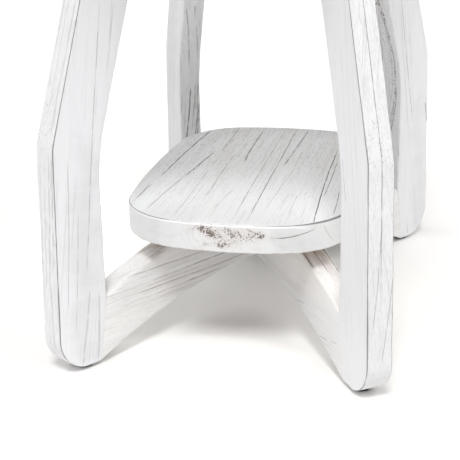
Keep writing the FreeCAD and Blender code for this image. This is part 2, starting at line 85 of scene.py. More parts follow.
# %% [markdown]
# ## Sizes of the wooden frame
# All lengths are in metres, the same numbers that the solids were drawn with. A reach is measured level
# from the middle of the table, along one of its two diagonals, so one drawing serves all four legs.

# %% Sizes
STOCK = 0.0285
KNEES_WIDE, KNEES_DEEP, KNEE_HEIGHT = 0.333, 0.4995, 0.249
KNEE_REACH = math.hypot(KNEES_WIDE, KNEES_DEEP) / 2
PLAN_ANGLE = math.atan2(KNEES_DEEP, KNEES_WIDE)
LEAN_ANGLE, SPLAY_ANGLE = math.radians(17.6), math.radians(2.1)
LEAN, SPLAY = math.tan(LEAN_ANGLE), math.tan(SPLAY_ANGLE)
UPPER_LEG_WIDTH, LOWER_LEG_WIDTH = 0.059, 0.056
LEG_LEVEL_WIDTH = UPPER_LEG_WIDTH / math.cos(LEAN_ANGLE)
INNER_REACH, HEEL_STEP = KNEE_REACH - LOWER_LEG_WIDTH, 0.012
HEEL_REACH = INNER_REACH + HEEL_STEP
FOOT, LEG_TOP = 0.004, 0.5785
TOE_REACH = KNEE_REACH + (KNEE_HEIGHT - FOOT) * SPLAY
TOE_ROUND, KNEE_ROUND, BEND_ROUND = 0.038, 0.040, 0.220
BEND_HEIGHT = KNEE_HEIGHT + (LOWER_LEG_WIDTH - LEG_LEVEL_WIDTH) / LEAN
SEAT, SEAT_LENGTH, CROWN_ROUND = 0.1255, 0.104, 0.615
CROWN_CENTRE = SEAT - math.sqrt(CROWN_ROUND**2 - (SEAT_LENGTH / 2) ** 2)
SHOULDER = CROWN_CENTRE + math.sqrt(CROWN_ROUND**2 - INNER_REACH**2)
ARCH_CROWN, ARCH_RISE = 0.0605, 0.0565
ARCH_ROUND = (HEEL_REACH**2 + ARCH_RISE**2) / (2 * ARCH_RISE)
RAIL_DEPTH = 0.045
RAIL_FOOT = LEG_TOP - RAIL_DEPTH
LEG_TURNS = {
    "leg_rear_right": PLAN_ANGLE,
    "leg_rear_left": math.pi - PLAN_ANGLE,
    "leg_front_left": math.pi + PLAN_ANGLE,
    "leg_front_right": -PLAN_ANGLE,
}


def outer_reach_at(height):
    """The outer line of a leg above its knee: the knee's reach, less the lean times the height above it."""
    return KNEE_REACH - (height - KNEE_HEIGHT) * LEAN


def inner_reach_at(height):
    """The inner line of a leg above its bend, one level width inside the outer line."""
    return outer_reach_at(height) - LEG_LEVEL_WIDTH


print("shoulder at", round(SHOULDER, 4), "toe reaches", round(TOE_REACH, 4))

# %% [markdown]
# ## A board with worn edges
# Every leg, stretcher and rail is one flat board between two edge lines. At each station along the board,
# the skin goes once round a rectangle with rounded corners, from the low edge line to the high one. One
# grid of stations and ring points then holds the whole board, and only its two ends need a lid. A bevel
# modifier would be quicker, but it rounds an edge evenly, and hands and feet wear it more in some places.

# %% A rounded section carried along a board
FACE_POINTS, EDGE_POINTS, CORNER_POINTS = 12, 10, 7


def ring_weights():
    """One turn round a rounded rectangle, as weights.

    Across the board: width * a + low_round * b + high_round * c.
    Through the board: half_thickness * s + low_round * d + high_round * e.
    """
    face = np.linspace(0, 1, FACE_POINTS + 2)[1:-1]
    edge = np.linspace(1, -1, EDGE_POINTS + 2)[1:-1]
    turn = np.linspace(0, math.pi / 2, CORNER_POINTS)
    cosine, sine = np.cos(turn), np.sin(turn)
    blocks = (
        (face, 1 - face, -face, 1, 0, 0),
        (1, 0, sine - 1, 1, 0, cosine - 1),
        (1, 0, 0, edge, 0, -edge),
        (1, 0, cosine - 1, -1, 0, 1 - sine),
        (1 - face, face, face - 1, -1, 0, 0),
        (0, 1 - sine, 0, -1, 1 - cosine, 0),
        (0, 0, 0, -edge, edge, 0),
        (0, 1 - cosine, 0, 1, sine - 1, 0),
    )
    return np.hstack([np.array(np.broadcast_arrays(*block), dtype=float) for block in blocks])


def carried_section(low, high, half_thickness, low_round, high_round):
    """Grid of points (station, ring point, xyz) with x the reach, y through the board and z the height.

    A point is the low edge point plus its way across, times the direction to the high edge point.
    """
    a, b, c, s, d, e = ring_weights()[:, None, :]
    width = np.linalg.norm(high - low, axis=1)
    towards = (high - low) / width[:, None]
    sizes = np.broadcast_arrays(width, half_thickness, low_round, high_round)
    width, half, low_round, high_round = (size[:, None] for size in sizes)
    across = width * a + low_round * b + high_round * c
    through = half * s + low_round * d + high_round * e
    flat = low[:, None, :] + across[..., None] * towards[:, None, :]
    return np.stack([flat[..., 0], through, flat[..., 1]], axis=-1)


def edge_line(reach, height):
    """Points of an edge line, one for each station."""
    return np.stack(np.broadcast_arrays(reach, height), axis=-1)


def grid_faces(stations, ring):
    """Quads between neighbouring stations, closed round the ring, and one lid for each end."""
    here = np.arange(stations * ring).reshape(stations, ring)
    after = np.roll(here, -1, axis=1)
    quads = np.stack([here[:-1], after[:-1], after[1:], here[1:]], axis=-1).reshape(-1, 4)
    return quads.tolist() + [here[0][::-1].tolist(), here[-1].tolist()]


def turned(points, angle):
    """Turns points about the upright axis through the middle of the table."""
    x, y, z = np.moveaxis(points, -1, 0)
    cosine, sine = math.cos(angle), math.sin(angle)
    return np.stack([x * cosine - y * sine, x * sine + y * cosine, z], axis=-1)


print("ring of", ring_weights().shape[1], "points")

# %% [markdown]
# ## Meshes, and cuts in them
# A mesh is filled from whole arrays. Its signed volume tells whether the faces point outwards, and if not
# they are turned. Holes and half laps are cut with the Boolean modifier, which is applied at once, so
# that the cutting shapes can go.

# %% Mesh helpers
SHARP_ANGLE = math.radians(38)
BAR_SIDES = 32


def new_mesh(name, points, faces):
    """A closed mesh from arrays, with its faces turned outwards."""
    mesh = bpy.data.meshes.new(name)
    mesh.from_pydata(points.reshape(-1, 3), [], faces)
    shell = bmesh.new()
    shell.from_mesh(mesh)
    if shell.calc_volume(signed=True) < 0:
        bmesh.ops.reverse_faces(shell, faces=shell.faces[:])
        shell.to_mesh(mesh)
    shell.free()
    return mesh


def finish_mesh(mesh):
    """Rounded surfaces are shaded smooth, and real corners stay crisp."""
    mesh.polygons.foreach_set("use_smooth", np.ones(len(mesh.polygons), dtype=bool))
    mesh.set_sharp_from_angle(angle=SHARP_ANGLE)
    mesh.update()


def new_piece(name, mesh):
    piece = bpy.data.objects.new(name, mesh)
    bpy.context.scene.collection.objects.link(piece)
    return piece


def box_points(low, high):
    """Eight corners and six faces of a box."""
    corners = np.stack(np.meshgrid(*zip(low, high), indexing="ij"), axis=-1).reshape(-1, 3)
    sides = [[0, 1, 3, 2], [4, 6, 7, 5], [0, 4, 5, 1], [2, 3, 7, 6], [0, 2, 6, 4], [1, 5, 7, 3]]
    return corners, sides


def bar_points(start, end, radius):
    """A straight round bar. A point is an end plus the radius times a direction square to the line."""
    start, end = np.array(start, dtype=float), np.array(end, dtype=float)
    line = (end - start) / np.linalg.norm(end - start)
    helper = np.eye(3)[np.argmin(np.abs(line))]
    first = np.cross(line, helper)
    first /= np.linalg.norm(first)
    second = np.cross(line, first)
    turn = np.linspace(0, 2 * math.pi, BAR_SIDES, endpoint=False)[:, None]
    circle = radius * (np.cos(turn) * first + np.sin(turn) * second)
    return np.stack([start + circle, end + circle]), grid_faces(2, BAR_SIDES)


def cut_away(piece, cutters):
    """Takes the volume of every cutting mesh out of the piece."""
    for mesh in cutters:
        cutter = new_piece("cutter", mesh)
        cut = piece.modifiers.new("cut", "BOOLEAN")
        cut.object = cutter
        cut.solver = "EXACT"
        graph = bpy.context.evaluated_depsgraph_get()
        result = bpy.data.meshes.new_from_object(piece.evaluated_get(graph))
        piece.modifiers.clear()
        old, piece.data = piece.data, result
        bpy.data.meshes.remove(old)
        bpy.data.meshes.remove(mesh)


print("edges sharper than", round(math.degrees(SHARP_ANGLE)), "degrees stay crisp")

# %% [markdown]
# ## Uneven wear
# A hand-finished edge is a little rounder here and a little sharper there. A sum of a few waves with
# unlike lengths never seems to repeat, and it is the same on every run.

# %% Wear along an edge
WAVES = ((61.0, 0.5), (137.0, 0.3), (293.0, 0.2))
SEED_SHIFT = 7.1


def uneven(along, seed, amount):
    """One plus a small sum of sines of the distance along the edge."""
    waves = sum(share * np.sin(rate * along + seed * (SEED_SHIFT + rate)) for rate, share in WAVES)
    return 1 + amount * waves


print("wear varies by up to", round(sum(share for _, share in WAVES), 2), "times its amount")

# %% [markdown]
# ## Legs
# A leg is sawn from one straight board, so its grain runs straight on where the outline bends at the
# knee. Bending a straight shape would bend the grain too, so the edge lines are drawn instead, as corners
# that are rounded off with arcs. The stations are heights: close together round the toe, where the
# outline turns fast, and evenly spaced above it.

# %% Legs
LEG_EASE, JOINT_EASE = 0.0022, 0.0004
SHOULDER_BLEND, STATION = 0.004, 0.004
OUTER_UNEVEN, INNER_UNEVEN, INNER_SEED = 0.35, 0.30, 3
TOE_POINTS, KNEE_POINTS, BEND_POINTS = 40, 14, 24


def rounded_corner(before, corner, after, radius, count):
    """Points of the arc that touches both lines at a corner.

    A point is the arc's middle plus a radius between the two that touch, weighted by sines of its swing.
    """
    before, corner, after = (np.array(point) for point in (before, corner, after))
    one = (before - corner) / np.linalg.norm(before - corner)
    other = (after - corner) / np.linalg.norm(after - corner)
    half = math.acos(np.clip(one @ other, -1, 1)) / 2
    middle = corner + (one + other) / np.linalg.norm(one + other) * radius / math.sin(half)
    start = corner + one * radius / math.tan(half) - middle
    end = corner + other * radius / math.tan(half) - middle
    share = np.linspace(0, 1, count)[:, None]
    swing = math.pi - 2 * half
    return middle + (np.sin((1 - share) * swing) * start + np.sin(share * swing) * end) / math.sin(swing)


LEG_HEAD_OUT = (outer_reach_at(LEG_TOP), LEG_TOP)
LEG_HEAD_IN = (inner_reach_at(LEG_TOP), LEG_TOP)
KNEE, BEND, TOE = (KNEE_REACH, KNEE_HEIGHT), (INNER_REACH, BEND_HEIGHT), (TOE_REACH, FOOT)
TOE_ARC = rounded_corner((HEEL_REACH, FOOT), TOE, KNEE, TOE_ROUND, TOE_POINTS)
KNEE_ARC = rounded_corner(TOE, KNEE, LEG_HEAD_OUT, KNEE_ROUND, KNEE_POINTS)
OUTER_LINE = np.vstack([TOE_ARC, KNEE_ARC, LEG_HEAD_OUT])
BEND_ARC = rounded_corner((INNER_REACH, SHOULDER), BEND, LEG_HEAD_IN, BEND_ROUND, BEND_POINTS)
INNER_LINE = np.vstack([(HEEL_REACH, FOOT), (INNER_REACH, SHOULDER), BEND_ARC, LEG_HEAD_IN])


def outer_edge(height):
    return np.interp(height, OUTER_LINE[:, 1], OUTER_LINE[:, 0])


def inner_edge(height):
    return np.interp(height, INNER_LINE[:, 1], INNER_LINE[:, 0])


def limited(values):
    return np.clip(values, 0, 1)


def leg_stations():
    low = TOE_ARC[::2, 1]
    evenly = np.arange(low[-1] + STATION, LEG_TOP, STATION)
    return np.unique(np.concatenate([low, evenly, KNEE_ARC[::2, 1], [SHOULDER, LEG_TOP]]))


def leg_points(seed):
    """Level slices from the foot to the head. Next to the floor they get thinner by a quarter circle."""
    height = leg_stations()
    above_floor = np.minimum(height - FOOT, LEG_EASE)
    half = STOCK / 2 - LEG_EASE + np.sqrt(LEG_EASE**2 - (LEG_EASE - above_floor) ** 2)
    worn = LEG_EASE * uneven(height, seed, OUTER_UNEVEN)
    above_joint = limited((height - SHOULDER) / SHOULDER_BLEND)
    free_inside = LEG_EASE * uneven(height, seed + INNER_SEED, INNER_UNEVEN)
    inside = JOINT_EASE + (free_inside - JOINT_EASE) * above_joint
    low, high = edge_line(inner_edge(height), height), edge_line(outer_edge(height), height)
    return carried_section(low, high, half, inside, worn)


pieces = {}
for seed, (name, angle) in enumerate(LEG_TURNS.items()):
    points = leg_points(seed)
    mesh = new_mesh(name, turned(points, angle), grid_faces(*points.shape[:2]))
    pieces[name] = new_piece(f"{name}_worn", mesh)
    print(name, len(mesh.polygons), "faces")

# %% [markdown]
# ## Stretchers and rails
# The two stretchers are arched boards that cross in a half lap: one is notched from above, the other from
# below. Each station joins a point of the arch to a point of the upper edge, and the stations lean more
# and more towards the ends, where the boards meet the legs on a slant. The rails under the top cross in
# the same way, but are straight.

# %% Stretchers and rails
STRETCHER_STATIONS, RAIL_STATIONS = 131, 61
UPPER_UNEVEN, LOWER_UNEVEN, LOWER_SEED, FIRST_CROSSED = 0.25, 0.30, 5, 10
LAP_PLAY, SCREW_BORE, PAST = 0.0002, 0.0055, 0.01
TOP_SCREW_INNER, TOP_SCREW_FROM_LEG = 0.044, 0.034
SHELF_SCREWS = (0.046,)
TOP_SCREWS = (TOP_SCREW_INNER, inner_reach_at(LEG_TOP) - TOP_SCREW_FROM_LEG)
SHELF_GRIP, TOP_GRIP = 0.030, 0.024
STRETCHER_LAP, RAIL_LAP = (ARCH_CROWN + SEAT) / 2, (RAIL_FOOT + LEG_TOP) / 2


def arch_height(reach):
    """The lower edge of a stretcher, a circle's arc that is highest in the middle."""
    return ARCH_CROWN - ARCH_ROUND + np.sqrt(ARCH_ROUND**2 - reach**2)


def crown_height(reach):
    """The upper edge of a stretcher: a circle's arc, cut off level where the shelf sits on it."""
    return np.minimum(CROWN_CENTRE + np.sqrt(CROWN_ROUND**2 - reach**2), SEAT)


def stretcher_points(seed, soft):
    """Sections of an arched board. The upper round grows from the middle to the ends, where feet rub it."""
    share = np.linspace(-1, 1, STRETCHER_STATIONS)
    low_reach, high_reach = share * HEEL_REACH, share * INNER_REACH
    low, high = edge_line(low_reach, arch_height(low_reach)), edge_line(high_reach, crown_height(high_reach))
    half = np.full(share.shape, STOCK / 2)
    half[[0, -1]] -= JOINT_EASE
    upper = (LEG_EASE + (soft - LEG_EASE) * np.abs(share)) * uneven(high_reach, seed, UPPER_UNEVEN)
    lower = LEG_EASE * uneven(low_reach, seed + LOWER_SEED, LOWER_UNEVEN)
    return carried_section(low, high, half, lower, upper)


def rail_points(seed):
    """Sections of a straight board whose ends follow the lean of the legs."""
    share = np.linspace(-1, 1, RAIL_STATIONS)
    low = edge_line(share * inner_reach_at(RAIL_FOOT), RAIL_FOOT)
    high = edge_line(share * inner_reach_at(LEG_TOP), LEG_TOP)
    lower = LEG_EASE * uneven(share * INNER_REACH, seed, LOWER_UNEVEN)
    return carried_section(low, high, STOCK / 2, lower, JOINT_EASE)


def lap_cutter(angle, other_angle, lap, end):
    """The slot that the other board lies in, from the lap to past the board's edge."""
    reach, side = STOCK, (STOCK + LAP_PLAY) / 2
    corners, sides = box_points((-reach, -side, min(lap, end)), (reach, side, max(lap, end)))
    return new_mesh("lap", turned(corners, other_angle - angle), sides)


def bore_cutters(reaches, bottom, bearing):
    """Wide bores from below, up to where the screw heads bear."""
    return [
        new_mesh("bore", *bar_points((way * reach, 0, bottom), (way * reach, 0, bearing), SCREW_BORE))
        for reach in reaches
        for way in (1, -1)
    ]


CROSSED = (
    ("stretcher_under", PLAN_ANGLE, -PLAN_ANGLE, STRETCHER_LAP, SEAT + PAST),
    ("stretcher_over", -PLAN_ANGLE, PLAN_ANGLE, STRETCHER_LAP, FOOT),
    ("rail_under", PLAN_ANGLE, -PLAN_ANGLE, RAIL_LAP, LEG_TOP + PAST),
    ("rail_over", -PLAN_ANGLE, PLAN_ANGLE, RAIL_LAP, RAIL_FOOT - PAST),
)
SOFT_UPPER_EDGE = {"stretcher_under": 0.0055, "stretcher_over": 0.0034}
for seed, (name, angle, other, lap, end) in enumerate(CROSSED, FIRST_CROSSED):
    if name in SOFT_UPPER_EDGE:
        points = stretcher_points(seed, SOFT_UPPER_EDGE[name])
        bores = bore_cutters(SHELF_SCREWS, FOOT, SEAT - SHELF_GRIP)
    else:
        points = rail_points(seed)
        bores = bore_cutters(TOP_SCREWS, RAIL_FOOT - PAST, LEG_TOP - TOP_GRIP)
    piece = new_piece(f"{name}_worn", new_mesh(name, points, grid_faces(*points.shape[:2])))
    cut_away(piece, [lap_cutter(angle, other, lap, end)] + bores)
    piece.data.transform(Matrix.Rotation(angle, 4, "Z"))
    pieces[name] = piece
    print(name, len(piece.data.polygons), "faces after the cuts")

# %% [markdown]
# ## Values on a mesh
# The finish will need to know more about a surface than its shape, such as how far a point is from a worn
# edge. Blender keeps such values on the vertices, each kind under its own name.

# %% Values on a mesh
def places_of(mesh):
    flat = np.empty(len(mesh.vertices) * 3)
    mesh.vertices.foreach_get("co", flat)
    return flat.reshape(-1, 3)


def write_values(mesh, **kinds):
    """Stores one number, or one vector, for each vertex under each name. A lone number goes to them all."""
    for name, values in kinds.items():
        values = np.asarray(values, dtype=np.float32)
        kind, field = ("FLOAT_VECTOR", "vector") if values.ndim == 2 else ("FLOAT", "value")
        if values.ndim == 0:
            values = np.full(len(mesh.vertices), values)
        layer = mesh.attributes.get(name) or mesh.attributes.new(name, kind, "POINT")
        layer.data.foreach_set(field, values.ravel())


def read_values(mesh, name):
    values = np.empty(len(mesh.vertices), dtype=np.float32)
    mesh.attributes[name].data.foreach_get("value", values)
    return values


print(len(places_of(pieces["rail_under"].data)), "vertices on one rail")

# %% [markdown]
# ## Shelf and top
# Both are panels of edge-glued boards, sawn to a bowed outline. An outline made of arcs that run smoothly
# into each other can be followed by the direction that it faces: each direction belongs to one point.
# Moving every point back along that direction gives the same outline further in, so an edge profile can
# be carried round it exactly. The finished panel is then parted into its boards with flat cuts.

# %% Panels carried round a bowed outline
PANEL_INSET = 0.02
UPPER_ROUND, UNDER_EASE = 0.0025, 0.0015
ROUND_STEPS, SIDE_STEPS = 8, 9
OUTLINE_STEP, FEWEST_POINTS = 0.003, 8
PANEL_UNEVEN, AROUND_RATE, FIRST_PANEL = 0.22, 0.1, 20
END_DEPTH, END_POWER = 0.6, 3
MIRROR = (-1, 1)


def outline_arcs(half_width, half_depth, corner, end, side):
    """The three arcs of a quarter outline: middle, radius and the direction in which each one ends."""
    end_y, side_x = half_depth - end, half_width - side
    apart = math.hypot(side_x, end_y)
    along = ((side - corner) ** 2 - (end - corner) ** 2 + apart**2) / (2 * apart)
    beside = math.sqrt((side - corner) ** 2 - along**2)
    lead = np.array([-side_x, end_y]) / apart
    foot, across = np.array([side_x, 0]) + lead * along, np.array([-lead[1], lead[0]]) * beside
    middle = max((foot + across, foot - across), key=lambda place: place[0])
    side_stop = math.atan2(middle[1], middle[0] - side_x)
    corner_stop = math.atan2(middle[1] - end_y, middle[0])
    return (((side_x, 0), side, side_stop), (middle, corner, corner_stop), ((0, end_y), end, math.pi / 2))


def bowed_outline(*numbers):
    """Points of the whole outline, and the directions that they face.

    A point is the middle of its arc plus the radius times its direction.
    """
    start, quarter, facing = 0.0, [], []
    for middle, radius, stop in outline_arcs(*numbers):
        count = max(FEWEST_POINTS, round(radius * (stop - start) / OUTLINE_STEP))
        turn = np.linspace(start, stop, count, endpoint=False)
        facing.append(np.stack([np.cos(turn), np.sin(turn)], axis=-1))
        quarter.append(np.array(middle) + radius * facing[-1])
        start = stop
    quarter, facing = np.vstack(quarter), np.vstack(facing)
    half = np.vstack([quarter, (0, numbers[1]), (quarter * MIRROR)[:0:-1]])
    half_facing = np.vstack([facing, (0, 1), (facing * MIRROR)[:0:-1]])
    return np.vstack([half, -half]), np.vstack([half_facing, -half_facing])


def panel_mesh(name, numbers, under, upper, upper_round, seed):
    """An edge profile of flat, round, side, round and flat, carried round the outline.

    A point is the outline's point less its inset times the direction that it faces, at its own height.
    """
    outline, facing = bowed_outline(*numbers)
    around = np.arctan2(facing[:, 1], facing[:, 0])
    worn = (upper_round * uneven(around * AROUND_RATE, seed, PANEL_UNEVEN))[:, None]
    turn = np.linspace(0, math.pi / 2, ROUND_STEPS)
    ones = np.ones((len(outline), 1))
    low_in, low_up = UNDER_EASE * (1 - np.sin(turn)), under + UNDER_EASE * (1 - np.cos(turn))
    high_in, high_up = worn * (1 - np.cos(turn)), upper - worn * (1 - np.sin(turn))
    share = np.linspace(0, 1, SIDE_STEPS + 2)[1:-1]
    side_up = low_up[-1] * (1 - share) + high_up[:, :1] * share
    inset = np.hstack([ones * PANEL_INSET, ones * low_in, side_up * 0, high_in, ones * PANEL_INSET])
    height = np.hstack([ones * under, ones * low_up, side_up, high_up, ones * upper])
    flat = outline[:, None, :] - inset[..., None] * facing[:, None, :]
    points = np.concatenate([flat, height[..., None]], axis=-1)
    mesh = new_mesh(name, points.swapaxes(0, 1), grid_faces(points.shape[1], points.shape[0]))
    rim = np.abs(inset - (upper - height))
    end = limited(1 - inset / (worn * END_DEPTH)) * np.abs(facing[:, 1:]) ** END_POWER
    write_values(mesh, arris=rim.T.ravel(), end_grain=end.T.ravel())
    return mesh


def parted(mesh, name, left, right):
    """The slice of a panel between two upright planes, with its sawn faces filled."""
    slab = bmesh.new()
    slab.from_mesh(mesh)
    for place, way in ((left, -1), (right, 1)):
        everything = slab.verts[:] + slab.edges[:] + slab.faces[:]
        plane = {"plane_co": (place, 0, 0), "plane_no": (way, 0, 0)}
        bmesh.ops.bisect_plane(slab, geom=everything, clear_outer=True, **plane)
        sawn = [edge for edge in slab.edges if edge.is_boundary]
        if sawn:
            bmesh.ops.holes_fill(slab, edges=sawn)
    board = bpy.data.meshes.new(name)
    slab.to_mesh(board)
    slab.free()
    return board


SHELF_HEIGHT, TABLE_HEIGHT, BOARD, FAR = 0.157, 0.610, 0.0315, 1.0
SHELF_OUTLINE = (0.129, 0.190, 0.082, 0.340, 1.400)
TOP_OUTLINE = (0.203, 0.305, 0.110, 0.540, 2.200)
SHELF_SIDES, SHELF_GLUE_LINES = ("left", "middle", "right"), (-0.031, 0.043)
TOP_SIDES = ("left_outer", "left_inner", "middle", "right_inner", "right_outer")
TOP_GLUE_LINES = np.linspace(-TOP_OUTLINE[0], TOP_OUTLINE[0], len(TOP_SIDES) + 1)[1:-1]
PANELS = (
    ("shelf_board", SHELF_SIDES, SHELF_GLUE_LINES, SHELF_OUTLINE, SHELF_HEIGHT),
    ("top_board", TOP_SIDES, TOP_GLUE_LINES, TOP_OUTLINE, TABLE_HEIGHT),
)
for seed, (kind, sides, glue_lines, outline, upper) in enumerate(PANELS, FIRST_PANEL):
    whole = panel_mesh(kind, outline, upper - BOARD, upper, UPPER_ROUND, seed)
    lines = (-FAR, *glue_lines, FAR)
    for side, left, right in zip(sides, lines, lines[1:]):
        name = f"{kind}_{side}"
        pieces[name] = new_piece(f"{name}_worn", parted(whole, name, left, right))
        print(name, len(pieces[name].data.polygons), "faces")
    bpy.data.meshes.remove(whole)

# %% [markdown]
# ## Holes for dowels, screws and nails
# A dowel is glued into two holes that face each other, a screw cuts its own way into the board above it,
# and the nail of a foot pad goes up into the leg. The shape of each fastener is taken out of the wood
# that it goes into, so the finished pieces can be pulled apart, as on the real table.

# %% Holes
MERGE = 1e-6
FASTENERS = {
    "leg": ("stretcher_dowels", "rail_dowels", "foot_nails"),
    "stretcher": ("stretcher_dowels", "shelf_screws"),
    "rail": ("rail_dowels", "top_screws"),
    "shelf": ("shelf_screws",),
    "top": ("top_screws",),
}


def kind_of(name):
    return name.split("_")[0]


def merged_copy(name):
    """A closed copy of a solid's mesh, whose own triangles are loose."""
    shell = bmesh.new()
    shell.from_mesh(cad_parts[name].data)
    bmesh.ops.remove_doubles(shell, verts=shell.verts[:], dist=MERGE)
    mesh = bpy.data.meshes.new(name)
    shell.to_mesh(mesh)
    shell.free()
    return mesh


for name, piece in pieces.items():
    before = len(piece.data.polygons)
    cut_away(piece, [merged_copy(fastener) for fastener in FASTENERS[kind_of(name)]])
    print(name, len(piece.data.polygons) - before, "more faces with its holes")

# %% [markdown]
# ## What the finish needs to know about a leg
# A wood finish follows the grain, and grain belongs to the board, not to the room. So each vertex carries
# its place in its own board: across the grain, through the board and along the grain. Boards are set far
# apart in that space, so that no two show the same figure. Each vertex also carries how far it is from
# the nearest worn edge (arris) and how much that edge is rubbed, how torn and how brushed the surface is,
# how much bare wood and painted shade it shows, and whether it lies on a narrow face or shows end grain.
# A leg is torn at its knee and toe, and on its inner face where the curved saw cut grazes a growth ring.

# %% Values of the legs
GRAIN_LEAN, LEG_APART = math.radians(8.5), np.array([0.31, 0.17, 0.73])
OUTSIDE, NARROW_START = 0.004, 0.6
INNER_ARRIS_REST, OUTER_RUB, INNER_RUB = 0.0004, 0.95, 0.5
LEG_WEAR = ((0.8, 2 * TOE_ROUND, TOE_ROUND), (0.4, KNEE_HEIGHT, TOE_ROUND))
LEG_TORN, LEG_TEARS = 0.10, ((0.22, KNEE_HEIGHT + 0.02, 0.05), (0.12, TOE_ROUND, 0.03))
OVAL_FILL, OVAL_START, OVAL_STOP, OVAL_LINE, OVAL_SPREAD, SPOT_TORN = 0.32, 1.6, 1.2, 0.5, 0.14, 0.4
LEG_BRUSHED, NARROW_BRUSHED = 0.5, 1.1
FOOT_END_GRAIN, FOOT_END_HEIGHT = 0.6, 0.012
INNER_OVALS = {
    "leg_rear_right": (0.004, 0.245, 0.0105, 0.085),
    "leg_front_left": (0.001, 0.260, 0.0095, 0.075),
}
INNER_SPOTS = {
    "leg_rear_left": (-0.0080, 0.174, 0.0065, 0.040),
    "leg_front_right": (0.0080, 0.300, 0.0060, 0.050),
}


def bump(value, middle, spread):
    """One in the middle, and near zero from about twice the spread."""
    return np.exp(-(((value - middle) / spread) ** 2))


def bumps(value, rows):
    return sum(strength * bump(value, middle, spread) for strength, middle, spread in rows)


def blob(across, up, middle_across, middle_up, half_width, half_height):
    """A soft oval spot: one in its middle, near zero past its half width and half height."""
    return bump(across, middle_across, half_width) * bump(up, middle_up, half_height)


def on_face(depth):
    """One on a narrow face, and zero from just below its worn corners."""
    return limited(1 - depth / OUTSIDE)


def well_on_face(share):
    return limited((share - NARROW_START) / (1 - NARROW_START))


def own_place(mesh, angle):
    return turned(places_of(mesh), -angle).T


def leg_grain(reach, side, height, number):
    """The grain leans with the leg's board, between the lines above and below the knee."""
    cosine, sine = math.cos(GRAIN_LEAN), math.sin(GRAIN_LEAN)
    level = reach - KNEE_REACH
    grain = np.stack([level * cosine + height * sine, side, height * cosine - level * sine], axis=-1)
    return grain + LEG_APART * number


def torn_inside(name, side, height):
    """An oval ring with a paler filling on two legs, and a soft spot on the other two."""
    if name in INNER_SPOTS:
        return SPOT_TORN * blob(side, height, *INNER_SPOTS[name])
    middle_side, middle_height, half_width, half_height = INNER_OVALS[name]
    oval = np.hypot((side - middle_side) / half_width, (height - middle_height) / half_height)
    filling = OVAL_FILL * limited(OVAL_START - oval) * (oval < OVAL_STOP)
    return filling + OVAL_LINE * bump(oval, 1, OVAL_SPREAD)


def write_leg_values(mesh, name, angle, number):
    """An edge's arris is the difference of the depths below its two faces, so it is zero along the edge."""
    reach, side, height = own_place(mesh, angle)
    from_out, from_in = outer_edge(height) - reach, reach - inner_edge(height)
    from_side = STOCK / 2 - np.abs(side)
    inner_arris = np.abs(from_in - from_side) + INNER_ARRIS_REST
    arris = np.minimum(np.abs(from_out - from_side), inner_arris)
    out_face, in_face = on_face(from_out), on_face(from_in) * (height > SHOULDER)
    torn = out_face * (LEG_TORN + bumps(height, LEG_TEARS)) + in_face * torn_inside(name, side, height)
    narrow = np.maximum(out_face, in_face)
    write_values(
        mesh,
        grain=leg_grain(reach, side, height, number),
        arris=arris / (1 + bumps(height, LEG_WEAR)),
        rub=np.where(from_out < from_in, OUTER_RUB, INNER_RUB),
        torn=limited(torn),
        narrow=well_on_face(narrow),
        brushed=LEG_BRUSHED + NARROW_BRUSHED * narrow,
        bare=0.0,
        end_grain=FOOT_END_GRAIN * limited(1 - (height - FOOT) / FOOT_END_HEIGHT),
    )


for number, (name, angle) in enumerate(LEG_TURNS.items(), 1):
    write_leg_values(pieces[name].data, name, angle, number)
    print(name, "has", len(pieces[name].data.attributes), "kinds of values")

# %% [markdown]
# ## What the finish needs to know about stretchers and rails
# Their grain runs along the board. White wash was brushed on after the table was put together, so it is
# thin on the upper edges that the shelf or the top covers, and the wood shows through there. The same
# brown also stands for the shade under the shelf, as painted shade, and one stretcher's upper edge is
# painted a little darker all along, as painted shade.

# %% Values of the stretchers and rails
CROSSED_APART = np.array([0.23, 0.41, 0.87])
UPPER_ARRIS_REST, LOWER_ARRIS_REST, UPPER_RUB, LOWER_RUB = 0.0006, 0.0003, 0.35, 0.45
# Under the shelf and the top the boards are painted browner: bare wood, and painted shade under the shelf.
COVERED_REACH, COVERED_FADE = 0.200, 0.060
UPPER_TORN, FACE_BARE_AND_SHADE = 0.1, 0.1
# The looks give shares of bare wood and painted shade on the upper edge, all along and where covered.
CROSSED_LOOKS = {
    "stretcher_under": {"brushed": 1.0, "bare": 0.0, "covered_bare": 0.9},
    "stretcher_over": {"brushed": 0.6, "bare": 0.14, "covered_bare": 0.55},
    "rail_under": {"brushed": 1.0, "bare": 0.0, "covered_bare": 0.9},
    "rail_over": {"brushed": 0.6, "bare": 0.0, "covered_bare": 0.9},
}


def rail_foot(reach):
    return np.full(reach.shape, RAIL_FOOT)


def rail_head(reach):
    return np.full(reach.shape, LEG_TOP)


def write_crossed_values(mesh, name, angle, number, low_line, high_line):
    """As for a leg, but with an upper and a lower edge line, and bare wood with painted shade where covered.
    """
    look = CROSSED_LOOKS[name]
    reach, side, height = own_place(mesh, angle)
    from_side = STOCK / 2 - np.abs(side)
    from_low, from_high = height - low_line(reach), high_line(reach) - height
    upper = np.abs(from_high - from_side) + UPPER_ARRIS_REST
    lower = np.abs(from_low - from_side) + LOWER_ARRIS_REST
    upper_face = on_face(from_high)
    covered = limited((COVERED_REACH - np.abs(reach)) / COVERED_FADE)
    write_values(
        mesh,
        grain=np.stack([height, side, reach], axis=-1) + CROSSED_APART * number,
        arris=np.minimum(upper, lower),
        rub=np.where(upper < lower, UPPER_RUB, LOWER_RUB),
        torn=UPPER_TORN * upper_face,
        narrow=well_on_face(upper_face),
        brushed=look["brushed"],
        # Bare wood and painted shade: browner where covered, most on the upper edge, and darker along one
        # edge.
        bare=covered * (FACE_BARE_AND_SHADE + look["covered_bare"] * upper_face) + look["bare"] * upper_face,
        end_grain=0.0,
    )


